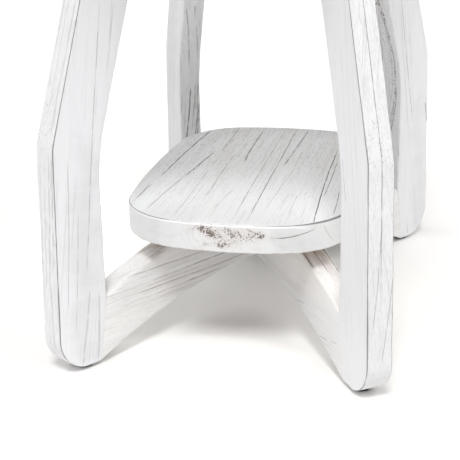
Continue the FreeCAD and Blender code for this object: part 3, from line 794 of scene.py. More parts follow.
EDGE_LINES = {"stretcher": (arch_height, crown_height), "rail": (rail_foot, rail_head)}
for number, (name, angle, *_) in enumerate(CROSSED, FIRST_CROSSED):
    write_crossed_values(pieces[name].data, name, angle, number, *EDGE_LINES[kind_of(name)])
    print(name, "has", len(pieces[name].data.attributes), "kinds of values")

# %% [markdown]
# ## What the finish needs to know about the boards of shelf and top
# These boards run from front to back, so their ends show end grain, torn in some places. The middle of
# the front edge is the least rubbed and the right corner the most, and the underside of the shelf is left
# nearly bare.

# %% Values of the boards
BOARD_APART, FIRST_BOARD = np.array([0.53, 0.29, 1.13]), 30
RUB_START, RUB_FULL = 0.03, 0.07
MIDDLE_ARRIS_REST, CORNER_WEAR = 0.00025, 1.8
BOARD_RUB, OUTER_PART_RUB, CORNER_RUB = 0.95, 0.05, 0.4
BOARD_BRUSHED, BACK_BRUSHED, SHELF_UNDER_BARE, END_TORN = 0.8, 0.4, 2.5, 0.04
FRONT_SPOTS = (
    (-0.020, 0.1512, 0.010, 0.0045, 1.0),
    (-0.014, 0.1450, 0.007, 0.0045, 1.0),
    (-0.034, 0.1490, 0.006, 0.0050, 0.3),
    (-0.002, 0.1345, 0.008, 0.0040, 1.1),
    (-0.020, 0.1335, 0.004, 0.0030, 0.6),
    (0.037, 0.1450, 0.007, 0.0035, 1.0),
    (0.020, 0.1450, 0.018, 0.0100, 0.5),
    (0.003, 0.1480, 0.012, 0.0080, 0.5),
)
TOP_SPREAD, TOP_SHIFT, TOP_WIDEN = 4, 0.03, 3


def spots_at(x, z, spots):
    return sum(strength * blob(x, z, *spot) for *spot, strength in spots)


def torn_shelf(x, y, z):
    """Spots at the front end, and every second one of them, mirrored, at the back."""
    return END_TORN + np.where(y < 0, spots_at(x, z, FRONT_SPOTS), spots_at(-x, z, FRONT_SPOTS[::2]))


def torn_top(x, y, z):
    """The shelf's spots, raised to the top and spread along its longer ends."""
    drop = TABLE_HEIGHT - SHELF_HEIGHT
    spots = [
        (TOP_SPREAD * middle + TOP_SHIFT, up + drop, TOP_WIDEN * half, tall, strength)
        for middle, up, half, tall, strength in FRONT_SPOTS
    ]
    return END_TORN + spots_at(x, z, spots)


def write_board_values(mesh, number, torn, upper, bare_under):
    """The panel's own arris holds near its upper edge, and the depth below the upper face further down."""
    x, y, z = places_of(mesh).T
    arris = np.where(upper - z > OUTSIDE, upper - z, read_values(mesh, "arris"))
    worn_corner = limited((x - RUB_FULL) / RUB_START) * (y < 0)
    outer_part = limited((np.abs(x) - RUB_START) / (RUB_FULL - RUB_START))
    write_values(
        mesh,
        grain=np.stack([x, z, y], axis=-1) + BOARD_APART * number,
        arris=arris / (1 + CORNER_WEAR * worn_corner) + MIDDLE_ARRIS_REST * (1 - outer_part),
        rub=BOARD_RUB + OUTER_PART_RUB * outer_part + CORNER_RUB * worn_corner,
        torn=limited(read_values(mesh, "end_grain") * torn(x, y, z)),
        narrow=0.0,
        brushed=BOARD_BRUSHED + BACK_BRUSHED * np.clip(y / RUB_FULL, -1, 1),
        bare=bare_under * limited(1 - (z - upper + BOARD) / UNDER_EASE),
    )


BOARD_LOOKS = {"shelf": (torn_shelf, SHELF_HEIGHT, SHELF_UNDER_BARE), "top": (torn_top, TABLE_HEIGHT, 0.0)}
for number, name in enumerate((name for name in pieces if "board" in name), FIRST_BOARD):
    write_board_values(pieces[name].data, number, *BOARD_LOOKS[kind_of(name)])
for piece in pieces.values():
    finish_mesh(piece.data)
print(sum(len(piece.data.polygons) for piece in pieces.values()), "faces in", len(pieces), "wooden pieces")

# %% [markdown]
# ## Building finishes from nodes
# A finish is a small network of nodes. These helpers add one node each and give back its output, so that
# a network reads from top to bottom like a sum.

# %% Node helpers
COLOUR_A, COLOUR_B, COLOUR_OUT = 6, 7, 2
DARK_END, DARK_SLOPE, OFFSET, POWER = 0.04045, 12.92, 0.055, 2.4


def colour(red, green, blue):
    """A colour as seen on a screen, from 0 to 255, turned into the light that the shader works with."""
    seen = np.array([red, green, blue]) / 255
    light = np.where(seen <= DARK_END, seen / DARK_SLOPE, ((seen + OFFSET) / (1 + OFFSET)) ** POWER)
    return (*light.tolist(), 1.0)


def fill(tree, socket, value):
    if isinstance(value, bpy.types.NodeSocket):
        tree.links.new(value, socket)
    else:
        socket.default_value = value


def maths(tree, operation, *values, clamp=False):
    made = tree.nodes.new("ShaderNodeMath")
    made.operation = operation
    made.use_clamp = clamp
    for socket, value in zip(made.inputs, values):
        fill(tree, socket, value)
    return made.outputs[0]


def product(tree, *values):
    total = values[0]
    for value in values[1:]:
        total = maths(tree, "MULTIPLY", total, value)
    return total


def vectors(tree, operation, one, other):
    """Maths with two vectors, which gives a vector, or one number if it is a distance."""
    made = tree.nodes.new("ShaderNodeVectorMath")
    made.operation = operation
    fill(tree, made.inputs[0], one)
    fill(tree, made.inputs[1], other)
    return made.outputs["Value" if operation == "DISTANCE" else "Vector"]


def parts(tree, place):
    made = tree.nodes.new("ShaderNodeSeparateXYZ")
    fill(tree, made.inputs[0], place)
    return tuple(made.outputs)


def joined(tree, *numbers):
    made = tree.nodes.new("ShaderNodeCombineXYZ")
    for socket, number in zip(made.inputs, numbers):
        fill(tree, socket, number)
    return made.outputs[0]


def noise(tree, place, scale, detail):
    """Cloudy values about a half. The scale has one number for each direction: across, through and along."""
    made = tree.nodes.new("ShaderNodeTexNoise")
    fill(tree, made.inputs["Vector"], vectors(tree, "MULTIPLY", place, scale))
    made.inputs["Scale"].default_value = 1.0
    made.inputs["Detail"].default_value = detail
    return made.outputs["Fac"]


def chance(tree, value):
    """A number from 0 to 1 that looks random, but is always the same for the same value."""
    made = tree.nodes.new("ShaderNodeTexWhiteNoise")
    made.noise_dimensions = "1D"
    fill(tree, made.inputs["W"], value)
    return made.outputs["Value"]


def soft_step(tree, value, low, high):
    made = tree.nodes.new("ShaderNodeMapRange")
    made.interpolation_type = "SMOOTHSTEP"
    for name, number in (("Value", value), ("From Min", low), ("From Max", high)):
        fill(tree, made.inputs[name], number)
    return made.outputs["Result"]


def cloudy(tree, place, scale, detail, low, high):
    """Soft patches: none where the noise is below the low value, and full where it is above the high one."""
    return soft_step(tree, noise(tree, place, scale, detail), low, high)


def mixed(tree, share, under, over):
    made = tree.nodes.new("ShaderNodeMix")
    made.data_type = "RGBA"
    fill(tree, made.inputs[0], share)
    fill(tree, made.inputs[COLOUR_A], under)
    fill(tree, made.inputs[COLOUR_B], over)
    return made.outputs[COLOUR_OUT]


def attribute(tree, name, output="Fac"):
    made = tree.nodes.new("ShaderNodeAttribute")
    made.attribute_name = name
    return made.outputs[output]


def room_place(tree):
    return tree.nodes.new("ShaderNodeTexCoord").outputs["Object"]


print("white as light:", [round(part, 2) for part in colour(240, 241, 243)])

# %% [markdown]
# ## Groups and materials
# A network that is used more than once becomes a node group with named sockets, which is set once and
# placed as often as it is needed. Every material here starts from the Principled shader.

# %% Group and material helpers
def new_group(name, inputs, outputs):
    """A node group with named sockets; a name that ends in place is a vector, the others are numbers."""
    group = bpy.data.node_groups.new(name, "ShaderNodeTree")
    for way, names in (("INPUT", inputs), ("OUTPUT", outputs)):
        for socket in names:
            kind = "NodeSocketVector" if socket.endswith("place") else "NodeSocketFloat"
            group.interface.new_socket(socket, in_out=way, socket_type=kind)
    entry = group.nodes.new("NodeGroupInput")
    leave = group.nodes.new("NodeGroupOutput")
    return group, entry.outputs, leave.inputs


def placed(tree, group, **values):
    made = tree.nodes.new("ShaderNodeGroup")
    made.node_tree = group
    for name, value in values.items():
        fill(tree, made.inputs[name], value)
    return made.outputs


def new_material(name):
    material = bpy.data.materials.new(name)
    material.use_nodes = True
    return material, material.node_tree, material.node_tree.nodes["Principled BSDF"]


def add_relief(tree, shader, height, strength, depth):
    relief = tree.nodes.new("ShaderNodeBump")
    relief.inputs["Strength"].default_value = strength
    relief.inputs["Distance"].default_value = depth
    fill(tree, relief.inputs["Height"], height)
    fill(tree, shader.inputs["Normal"], relief.outputs["Normal"])


print("helpers for groups and materials are ready")

# %% [markdown]
# ## Dark lines along the grain
# White wash fills the pores of wood, but long cracks and the dark late wood stay open, as thin lines that
# run with the grain, start and stop, and wander a little. A picture of wood would repeat, and blur close
# up, so the lines are worked out instead. The board is parted into strips across the grain. Each strip
# gets one line at a chance place, and cloudy noise along the grain says where that line shows.

# %% Grain lines
RING_SLANT = 0.8
WAVER_NOISE, SHOWN_NOISE = ((35.0, 35.0, 4.0), 2.0), ((1.0, 1.0, 1.0), 1.0)
STRIP_STEP, SEED_STEP, FADE = 13.7, 3.1, 0.14
STRIP_ROOM, STRIP_EDGE = 0.6, 0.2
DARK_ROOM, DARK_LEAST = 0.55, 0.45


def make_grain_lines():
    """A line shows where the distance to its middle is less than its width times the cloud along it."""
    inputs = ("place", "spacing", "width", "run", "least", "waver", "seed")
    group, given, out = new_group("grain_lines", inputs, ("line",))
    across, through, along = parts(group, given["place"])
    cloud = maths(group, "SUBTRACT", noise(group, given["place"], *WAVER_NOISE), 0.5)
    wander = product(group, cloud, 2.0, given["waver"])
    level = maths(group, "ADD", maths(group, "MULTIPLY_ADD", through, RING_SLANT, across), wander)
    strips = maths(group, "ADD", maths(group, "DIVIDE", level, given["spacing"]), given["seed"])
    strip = maths(group, "FLOOR", strips)
    middle = maths(group, "MULTIPLY_ADD", chance(group, strip), STRIP_ROOM, STRIP_EDGE)
    off = maths(group, "ABSOLUTE", maths(group, "SUBTRACT", maths(group, "FRACT", strips), middle))
    run = maths(group, "DIVIDE", along, given["run"])
    spot = joined(group, product(group, strip, STRIP_STEP), run, product(group, given["seed"], SEED_STEP))
    least = given["least"]
    shown = soft_step(group, noise(group, spot, *SHOWN_NOISE), least, maths(group, "ADD", least, FADE))
    distance = product(group, off, given["spacing"])
    rest = maths(group, "SUBTRACT", product(group, given["width"], shown), distance)
    line = maths(group, "DIVIDE", rest, product(group, given["width"], 0.5), clamp=True)
    tone = chance(group, maths(group, "ADD", strip, 0.5))
    fill(group, out["line"], product(group, line, maths(group, "MULTIPLY_ADD", tone, DARK_ROOM, DARK_LEAST)))
    return group


GRAIN_LINES = make_grain_lines()
print(GRAIN_LINES.name, len(GRAIN_LINES.nodes), "nodes")

# %% [markdown]
# ## Long streaks, one by one
# Some cracks are long and dark enough to be known one by one, as on the shelf. Each is drawn as a curve
# through three points at its start, middle and end. It is thickest in the middle, wanders by about its
# own width, and breaks up where the white wash bridges it.

# %% Long streaks
STREAK_FADE, WANDER, SOFT_SHARE = (-0.08, 0.12), 2.6, 0.7
WANDER_NOISE, BREAKS = ((24.0, 1.0, 1.0), 3.0), ((60.0, 3.0, 1.0), 3.0, 0.28, 0.55)
BROKEN_WIDTH, BROKEN_DEPTH = (0.35, 0.8), (0.45, 0.55)


def make_long_streak():
    """The curve is first * (1 - t)(1 - 2t) + middle * 4t(1 - t) - last * t(1 - 2t), with t from 0 to 1."""
    inputs = ("place", "start", "end", "first", "middle", "last", "width", "seed")
    group, given, out = new_group("long_streak", inputs, ("line",))
    across, _, along = parts(group, given["place"])
    length = maths(group, "SUBTRACT", given["end"], given["start"])
    share = maths(group, "DIVIDE", maths(group, "SUBTRACT", along, given["start"]), length)
    rest = maths(group, "SUBTRACT", 1.0, share)
    lean = maths(group, "SUBTRACT", rest, share)
    early = product(group, rest, lean, given["first"])
    amid = product(group, share, rest, 4.0, given["middle"])
    late = product(group, share, lean, given["last"])
    path = maths(group, "SUBTRACT", maths(group, "ADD", early, amid), late)

    spot = joined(group, along, given["seed"])
    sway = maths(group, "SUBTRACT", noise(group, spot, *WANDER_NOISE), 0.5)
    path = maths(group, "ADD", path, product(group, sway, WANDER, given["width"]))
    whole = cloudy(group, spot, *BREAKS)
    ends = product(group, soft_step(group, share, *STREAK_FADE), soft_step(group, rest, *STREAK_FADE))
    width = product(group, given["width"], ends, maths(group, "MULTIPLY_ADD", whole, *BROKEN_WIDTH))
    off = maths(group, "ABSOLUTE", maths(group, "SUBTRACT", across, path))
    edge = product(group, given["width"], SOFT_SHARE)
    depth = maths(group, "DIVIDE", maths(group, "SUBTRACT", width, off), edge, clamp=True)
    fill(group, out["line"], product(group, depth, maths(group, "MULTIPLY_ADD", whole, *BROKEN_DEPTH)))
    return group


LONG_STREAK = make_long_streak()
print(LONG_STREAK.name, len(LONG_STREAK.nodes), "nodes")

# %% [markdown]
# ## Rubbed edges, torn grain and rings
# Along a worn edge the white is rubbed through in a hairline. Where the saw crosses the grain, as at the
# knees and at the ends of the shelf boards, fibres tear out and leave clumps of dark pits with a brownish
# stain. On end grain the growth rings show as faint arcs round the heart of the tree. All three read the
# values that the vertices carry.

# %% Rubbed edges, torn grain and rings
RUB_NOISE, RUB_SHOWN, RUB_SOFT = ((45.0, 45.0, 12.0), 3.0), (-0.5, 0.75), 0.2
CLUMP_NOISE, CLUMP_RANGE = ((150.0, 150.0, 90.0), 2.0), (0.35, 0.65)
PIT_NOISE, PIT_EDGE = ((620.0, 620.0, 420.0), 3.0), (-0.32, 0.68)
PIT_SOFT, PIT_START = 0.09, (0.02, 0.5)
STAIN, STAIN_TONE = ((110.0, 110.0, 60.0), 3.0, 0.3, 0.7), (0.7, 0.3)
RING_SPACING, RING_WARP, RING_REACH, RING_EDGE = 0.0065, 0.009, 0.05, (0.62, 0.97)


def make_rubbed_edge():
    """A hairline shows where the arris is less than the width times a cloud, which more rub spreads."""
    group, given, out = new_group("rubbed_edge", ("place", "arris", "rub", "width"), ("line",))
    least = maths(group, "MULTIPLY_ADD", given["rub"], *RUB_SHOWN)
    shown = cloudy(group, given["place"], *RUB_NOISE, least, maths(group, "ADD", least, RUB_SOFT))
    rest = maths(group, "SUBTRACT", product(group, given["width"], shown), given["arris"])
    half_width = product(group, given["width"], 0.5)
    fill(group, out["line"], maths(group, "DIVIDE", rest, half_width, clamp=True))
    return group


def make_torn_grain():
    """Pits show where fine noise is above an edge that sinks as more is torn. Stain follows it softly."""
    group, given, out = new_group("torn_grain", ("place", "torn"), ("pits", "stain"))
    clump = cloudy(group, given["place"], *CLUMP_NOISE, *CLUMP_RANGE)
    amount = product(group, given["torn"], maths(group, "MULTIPLY_ADD", clump, 0.5, 0.5))
    edge = maths(group, "MULTIPLY_ADD", amount, *PIT_EDGE)
    pits = cloudy(group, given["place"], *PIT_NOISE, edge, maths(group, "ADD", edge, PIT_SOFT))
    fill(group, out["pits"], product(group, pits, soft_step(group, amount, *PIT_START)))
    cloud = cloudy(group, given["place"], *STAIN)
    fill(group, out["stain"], product(group, maths(group, "MULTIPLY_ADD", cloud, *STAIN_TONE), given["torn"]))
    return group


def make_end_rings():
    """Bands of equal distance from the heart, which repeats with the width of a board."""
    group, given, out = new_group("end_rings", ("place", "heart", "heart_height", "period"), ("ring",))
    x, _, z = parts(group, given["place"])
    half = product(group, given["period"], 0.5)
    off = maths(group, "SUBTRACT", x, given["heart"])
    beside = maths(group, "WRAP", off, half, product(group, half, -1.0))
    above = maths(group, "SUBTRACT", z, given["heart_height"])
    square = maths(group, "ADD", product(group, beside, beside), product(group, above, above))
    warp = product(group, noise(group, given["place"], *CLUMP_NOISE), RING_WARP)
    turns = maths(group, "DIVIDE", maths(group, "ADD", maths(group, "SQRT", square), warp), RING_SPACING)
    saw = soft_step(group, maths(group, "FRACT", turns), *RING_EDGE)
    fill(group, out["ring"], product(group, saw, soft_step(group, square, RING_REACH**2, 0.0)))
    return group


RUBBED_EDGE, TORN_GRAIN, END_RINGS = make_rubbed_edge(), make_torn_grain(), make_end_rings()
print(RUBBED_EDGE.name, TORN_GRAIN.name, "and", END_RINGS.name)

# %% [markdown]
# ## Where the long streaks are
# These are the cracks that catch the eye on this table. Each row has the points of one crack, first
# across and then along its board, then its width, all in millimetres, and last how dark it is. The
# shelf's are measured from the middle of the table, those of its front edge by height and x. A leg's are
# measured by reach and height on its broad face, or by side and height on a narrow face, and a
# stretcher's by height or side and reach. A very wide and faint row is a grey shade rather than a crack.

# %% Long streaks of this table
MILLIMETRE = 0.001
SHELF_STREAKS = (
    (-108.5, -44, -104.5, 62, -96, 168, 0.9, 1),
    (-113.5, -123, -112.5, -98, -111, -73, 0.6, 0.85),
    (-82, -42, -75.5, 11, -70, 64, 0.8, 1),
    (-92.5, -155, -87.5, -98, -81.5, -36, 0.6, 0.7),
    (-60.5, 68, -62, 126, -62, 185, 0.7, 0.85),
    (-57.5, -176, -58, -93, -59.2, -10, 0.4, 0.6),
    (-39, -118, -41.2, -27, -43.2, 65, 0.5, 0.75),
    (-44, 100, -45.2, 143, -46, 186, 0.4, 0.5),
    (-24.5, 28, -27.5, 99, -28.5, 172, 0.9, 0.9),
    (-21, -142, -18.5, -110, -15, -78, 0.5, 0.6),
    (6, -165, 2, 10, 0, 186, 0.5, 0.7),
    (22, -178, 17.8, 4, 14.5, 186, 0.6, 0.85),
    (26, 20, 28, 101, 30, 182, 0.8, 0.9),
    (34, -135, 36.5, -62, 40, 10, 0.4, 0.55),
    (91.2, -178, 83.5, -41, 80, 95, 0.8, 0.9),
    (89, -85, 88, -16, 86, 52, 0.6, 0.8),
    (107.2, -145, 106.2, -104, 103.2, -62, 0.5, 0.8),
    (60.5, -150, 60.2, -115, 60, -80, 0.4, 0.5),
)
SHELF_END_STREAKS = (
    (144.2, 46, 144.5, 70.5, 151.5, 95, 0.7, 0.9),
    (152.5, 24, 149, 32, 144.5, 43, 1.2, 0.7),
    (152.5, 100.5, 144, 103.5, 131, 110, 2, 0.8),
    (140, 46, 140.5, 80, 143, 114, 14, 0.1),
)
TOP_STREAKS = (
    (-161, -180, -156, 10, -154, 190, 0.9, 0.8),
    (-90, -290, -94, -120, -101, 60, 0.8, 0.7),
    (-33, 20, -30, 150, -29, 285, 1, 0.85),
    (18, -285, 22, -20, 26, 270, 0.6, 0.7),
    (72, -170, 66, 0, 64, 160, 0.9, 0.8),
    (136, -240, 140, -60, 148, 130, 1, 0.85),
    (175, -90, 172, 40, 172, 170, 0.6, 0.6),
)
BROAD_STREAKS = {
    "leg_front_left": (
        (231.5, 385, 244.5, 300, 256.5, 210, 262.2, 150, 269, 105, 0.7, 0.45),
        (266, 90, 273.5, 45, 281.5, 4, 1.6, 0.3),
        (253.5, 85, 256.5, 45, 261, 4, 1.5, 0.3),
        (214, 385, 221.5, 345, 230, 305, 0.5, 0.3),
        (283, 235, 288, 150, 296, 70, 0.6, 0.4),
        (274, 180, 280, 110, 288, 40, 0.6, 0.4),
        (260, 260, 268, 130, 282, 4, 22, 0.08),
    ),
    "leg_front_right": (
        (247, 240, 251, 219, 256, 198, 0.6, 0.5),
    ),
    "leg_rear_right": (
        (239, 330, 253, 258, 271.5, 163, 0.6, 0.55),
        (257, 285, 261, 262, 265, 240, 0.5, 0.35),
        (297, 186, 299, 173, 301.5, 158, 0.9, 0.7),
        (283, 200, 290, 100, 296, 4, 20, 0.07),
    ),
    "leg_rear_left": (
        (260, 320, 268, 240, 277, 165, 1, 0.25),
        (281, 300, 289, 220, 296, 150, 1, 0.25),
        (256, 400, 270, 280, 286, 150, 22, 0.06),
    ),
}
NARROW_STREAKS = {
    "leg_front_right": (
        (0.6, 560, 0.8, 300, 0.4, 200, 0.3, 110, 0.6, 0.65),
        (1, 205, -2, 142, -9, 75, 0.6, 0.5),
        (13.2, 135, 9, 95, 1, 42, 0.6, 0.45),
    ),
    "leg_rear_left": (
        (11, 325, 5, 288, 1, 245, 1.2, 0.45),
        (-5.5, 300, -8, 280, -10.2, 260, 1.2, 0.35),
        (-0.8, 326, -1.4, 319, -2.2, 310, 1, 0.5),
        (-1.2, 212, 2.2, 180, 7.4, 138, 1.3, 0.75),
        (-13, 190, -9.5, 168, -5.8, 144, 1.4, 0.8),
        (-11.8, 216, -10.4, 198, -9.2, 180, 1, 0.65),
        (-8.2, 216, -6.8, 198, -5.6, 180, 0.9, 0.55),
        (-6.2, 192, -4, 176, -2.2, 156, 0.9, 0.5),
        (-11.6, 170, -9.8, 156, -8.4, 142, 1, 0.65),
        (6, 196, 7.8, 178, 9.8, 158, 0.8, 0.3),
        (11, 202, 12.6, 188, 13.8, 174, 1, 0.35),
    ),
    "leg_rear_right": (
        (2.2, 327, -4, 298, -6.6, 236, 1, 0.6),
        (-7, 226, -5.8, 196, 1, 160, 1.1, 0.65),
        (4, 322, 7.8, 292, 11.8, 254, 0.9, 0.4),
        (-2.2, 300, -3, 276, -2.8, 252, 1, 0.35),
        (-3.5, 206, -2.2, 190, 0.6, 172, 0.9, 0.45),
    ),
    "leg_front_left": (
        (8.5, 400, 7, 320, 7.5, 262, 1.8, 0.22),
        (-3, 390, -3.5, 330, -3, 270, 1.2, 0.16),
        (-11, 400, -10, 350, -9.5, 300, 1.2, 0.14),
        (12.5, 246, 10.5, 190, 8.5, 120, 1.6, 0.3),
        (7.5, 244, 4.5, 180, 0.5, 100, 1.4, 0.28),
        (0, 240, -3, 170, -6, 95, 1.2, 0.2),
        (-8, 235, -10, 160, -11, 80, 1.2, 0.16),
        (1, 110, 2.5, 70, 3, 30, 1.4, 0.28),
    ),
}
FACE_STREAKS = {
    "stretcher_under": (
        (88.5, -215, 88.6, -157, 88.2, -100, 0.8, 0.42),
        (76.2, -135, 76.8, -95, 77.5, -56, 1, 0.58),
        (75.2, -182, 75.5, -152, 75.7, -122, 0.8, 0.38),
        (74.8, -250, 74.6, -220, 74.8, -190, 0.7, 0.25),
        (66.4, -205, 66, -112, 67.2, -30, 0.9, 0.52),
        (66, -250, 66.4, -222, 66.4, -195, 0.7, 0.22),
        (59.2, -130, 59.6, -97, 60.2, -66, 0.9, 0.5),
        (58, -180, 58.3, -143, 58.6, -106, 0.8, 0.34),
        (57.5, -225, 57.8, -203, 57.8, -180, 0.7, 0.22),
        (70.5, -190, 70.8, -150, 71.2, -110, 0.6, 0.3),
        (63, -200, 63.2, -160, 63.2, -120, 0.6, 0.3),
        (81.5, -160, 81.8, -135, 82.2, -110, 0.6, 0.26),
        (52, -185, 52.5, -160, 53.5, -130, 0.6, 0.24),
    ),
    "stretcher_over": (
        (30.5, 198, 31.8, 207, 33.5, 217, 0.8, 0.4),
        (36.8, 227, 38.2, 233, 39.8, 240, 0.8, 0.4),
        (50, 142, 50.8, 150, 52.2, 160, 0.8, 0.32),
    ),
}
UPPER_STREAKS = {
    "stretcher_over": (
        (12.2, 100, 12.2, 148, 11.2, 195, 0.8, 0.85),
        (0, 95, 0.2, 140, -0.2, 188, 0.8, 0.85),
        (-12.2, 100, -12.2, 138, -12.4, 180, 0.8, 0.85),
    ),
    "stretcher_under": (
        (-10, -190, -9.6, -165, -9.2, -100, 0.8, 0.5),
    ),
}


def streak(across, along, width, dark):
    """A streak's parabola through its points, its ends, and the strip across the grain that it stays in."""
    curve = np.polyfit(along, across, 2)
    start, end = along.min(), along.max()
    path = np.polyval(curve, [start, (start + end) / 2, end])
    ends = {"start": start, "end": end, "low": path.min() - width, "high": path.max() + width}
    return {"path": path, "width": width, "dark": dark, **ends}


def read_rows(rows):
    """Points, width and darkness of each row, in metres."""
    for *numbers, width, dark in rows:
        points = np.array(numbers).reshape(-1, 2) * MILLIMETRE
        yield points, width * MILLIMETRE, dark


def shifted_streaks(rows, shift=(0, 0)):
    return [streak(*(points + shift).T, width, dark) for points, width, dark in read_rows(rows)]


def leg_streaks(name, number):
    """Streaks of one leg, in its own grain space: those of the broad faces, and those of the narrow faces."""
    broad, narrow = [], []
    for points, width, dark in read_rows(BROAD_STREAKS[name]):
        reach, height = points.T
        across, _, along = leg_grain(reach, 0 * reach, height, number).T
        broad.append(streak(across, along, width, dark))
    for points, width, dark in read_rows(NARROW_STREAKS[name]):
        side, height = points.T
        _, through, along = leg_grain(outer_edge(height), side, height, number).T
        narrow.append(streak(through, along, width, dark))
    return {"across": broad, "through": narrow}


def crossed_streaks(name, number):
    """Streaks of one stretcher or rail: those of its broad faces, and those of its upper edge."""
    across, through, along = CROSSED_APART * number
    return {
        "across": shifted_streaks(FACE_STREAKS.get(name, ()), (across, along)),
        "through": shifted_streaks(UPPER_STREAKS.get(name, ()), (through, along)),
    }


STREAKS = {name: leg_streaks(name, number) for number, name in enumerate(LEG_TURNS, 1)}
STREAKS |= {name: crossed_streaks(name, number) for number, (name, *_) in enumerate(CROSSED, FIRST_CROSSED)}
STREAKS["shelf_board"] = {"table": shifted_streaks(SHELF_STREAKS), "end": shifted_streaks(SHELF_END_STREAKS)}
STREAKS["top_board"] = {"table": shifted_streaks(TOP_STREAKS)}
print(sum(len(rows) for kinds in STREAKS.values() for rows in kinds.values()), "long streaks")

# %% [markdown]
# ## Drawing many streaks with few nodes
# One group for every streak would make a very large network. But streaks that lie side by side never
# meet, so they can share one group: a colour ramp with steps serves as a table, which gives the numbers
# of the one streak that is near. Only streaks that overlap across the grain need another set.

# %% Streaks from tables
STRIP_GAP, STREAK_SEED = 0.001, 977.0


def reordered(tree, place, order):
    sockets = parts(tree, place)
    return joined(tree, *(sockets[index] for index in order))


def streak_sets(rows):
    """Parts streaks into sets whose strips across the grain lie side by side."""
    sets = []
    for row in sorted(rows, key=lambda row: row["low"]):
        fitting = [kept for kept in sets if row["low"] > kept[-1]["high"] + STRIP_GAP]
        if fitting:
            fitting[0].append(row)
        else:
            sets.append([row])
    return sets


def looked_up(tree, share, stops, numbers):
    """A table: each stop's four numbers hold from there to the next stop."""
    made = tree.nodes.new("ShaderNodeValToRGB")
    ramp = made.color_ramp
    ramp.interpolation = "CONSTANT"
    ramp.elements.remove(ramp.elements[1])
    for stop, row in zip(stops, numbers):
        element = ramp.elements[0] if stop == 0 else ramp.elements.new(stop)
        element.position = stop
        element.color = row
    fill(tree, made.inputs["Fac"], share)
    split = tree.nodes.new("ShaderNodeSeparateColor")
    fill(tree, split.inputs[0], made.outputs["Color"])
    return *split.outputs, made.outputs["Alpha"]


def streak_lines(tree, place, rows):
    """The darkest streak at each point. Every set keeps its streaks in two tables across the grain."""
    low, early = min(row["low"] for row in rows) - STRIP_GAP, min(row["start"] for row in rows)
    span = max(row["high"] for row in rows) + STRIP_GAP - low
    local = vectors(tree, "SUBTRACT", place, (low, 0, early))
    share = maths(tree, "DIVIDE", parts(tree, local)[0], span, clamp=True)
    darkest = 0.0
    for kept in streak_sets(rows):
        gaps = [(one["high"] + other["low"]) / 2 for one, other in zip(kept, kept[1:])]
        stops = [0] + [(gap - low) / span for gap in gaps]
        paths = [[*(row["path"] - low), 1] for row in kept]
        extents = [[row["start"] - early, row["end"] - early, row["width"], row["dark"]] for row in kept]
        first, middle, last, _ = looked_up(tree, share, stops, paths)
        start, end, width, dark = looked_up(tree, share, stops, extents)
        given = {"start": start, "end": end, "first": first, "middle": middle, "last": last, "width": width}
        seed = product(tree, middle, STREAK_SEED)
        line = placed(tree, LONG_STREAK, place=local, seed=seed, **given)["line"]
        darkest = maths(tree, "MAXIMUM", darkest, product(tree, line, dark))
    return darkest


print(max(len(streak_sets(rows)) for kinds in STREAKS.values() for rows in kinds.values()), "sets at most")

# %% [markdown]
# ## White-washed wood
# The finish starts from white and gets greyer in soft bands, then in fine brushed streaks and specks.
# Then come the dark lines, the rubbed edges and the torn grain, each laid over what is there with its own
# share. The same values raise and lower the surface: brushed wood feels ridged, and cracks are deep.

# %% White-washed wood
# The second white is a painted highlight, for the band just under a worn edge of an end.
GREY_WHITE, RIM_HIGHLIGHT_WHITE = colour(226, 227, 229), colour(253, 253, 253)
WARM_GREY, BRUSHED_GREY = colour(212, 209, 205), colour(190, 188, 186)
# The brown stands for bare wood, and on the stretchers also for painted shade under the shelf.
RUBBED, RING, BARE_AND_SHADE_BROWN = colour(98, 93, 91), colour(206, 205, 206), colour(178, 158, 142)
CLOUD, CLOUD_SHARE = ((9.0, 9.0, 3.0), 2.0, 0.35, 0.68), 0.7
BAND, BLOTCH = ((120.0, 120.0, 2.4), 3.0, 0.42, 0.74), ((60.0, 60.0, 110.0), 4.0, 0.48, 0.72)
BRUSH, SPECK = ((820.0, 820.0, 22.0), 3.0, 0.42, 0.76), ((640.0, 640.0, 420.0), 2.0, 0.50, 0.72)
TICK = ((1150.0, 1150.0, 120.0), 1.0, 0.60, 0.74)
SIDE_GRAIN, RING_SHARE, BLOTCH_SHARE = (0.15, 0.6), 0.4, 0.5
# Where the painted highlight under a worn edge starts and ends, by arris, and how little rubbed the edge must
# be.
RIM_HIGHLIGHT_START, RIM_HIGHLIGHT_END, RIM_HIGHLIGHT_RUB = (0.0008, 0.0014), (0.0036, 0.0024), (1.30, 1.05)
RUBBED_SHARE, STAIN_SHARE, PIT_SHARE = 0.85, 0.65, 0.9
BRUSHED_ROUGHNESS, SHEEN, BRUSHED_DEPTH = (0.18, 0.50), 0.4, -0.35
RELIEF_STRENGTH, RELIEF_DEPTH = 0.5, 0.0005
CARRIED = ("end_grain", "narrow", "arris", "rub", "brushed", "bare", "torn")
LINE_INPUTS = ("spacing", "width", "run", "least", "waver", "seed")


def finish_inputs(tree):
    """What the vertices carry, the places in the board and in the room, and the brushed streaks."""
    given = {name: attribute(tree, name) for name in CARRIED}
    given["place"], given["here"] = attribute(tree, "grain", "Vector"), room_place(tree)
    given["side_grain"] = maths(tree, "SUBTRACT", 1.0, soft_step(tree, given["end_grain"], *SIDE_GRAIN))
    given["brush"] = product(tree, given["brushed"], given["side_grain"])
    given["ridges"] = product(tree, cloudy(tree, given["place"], *BRUSH), given["brush"])
    return given


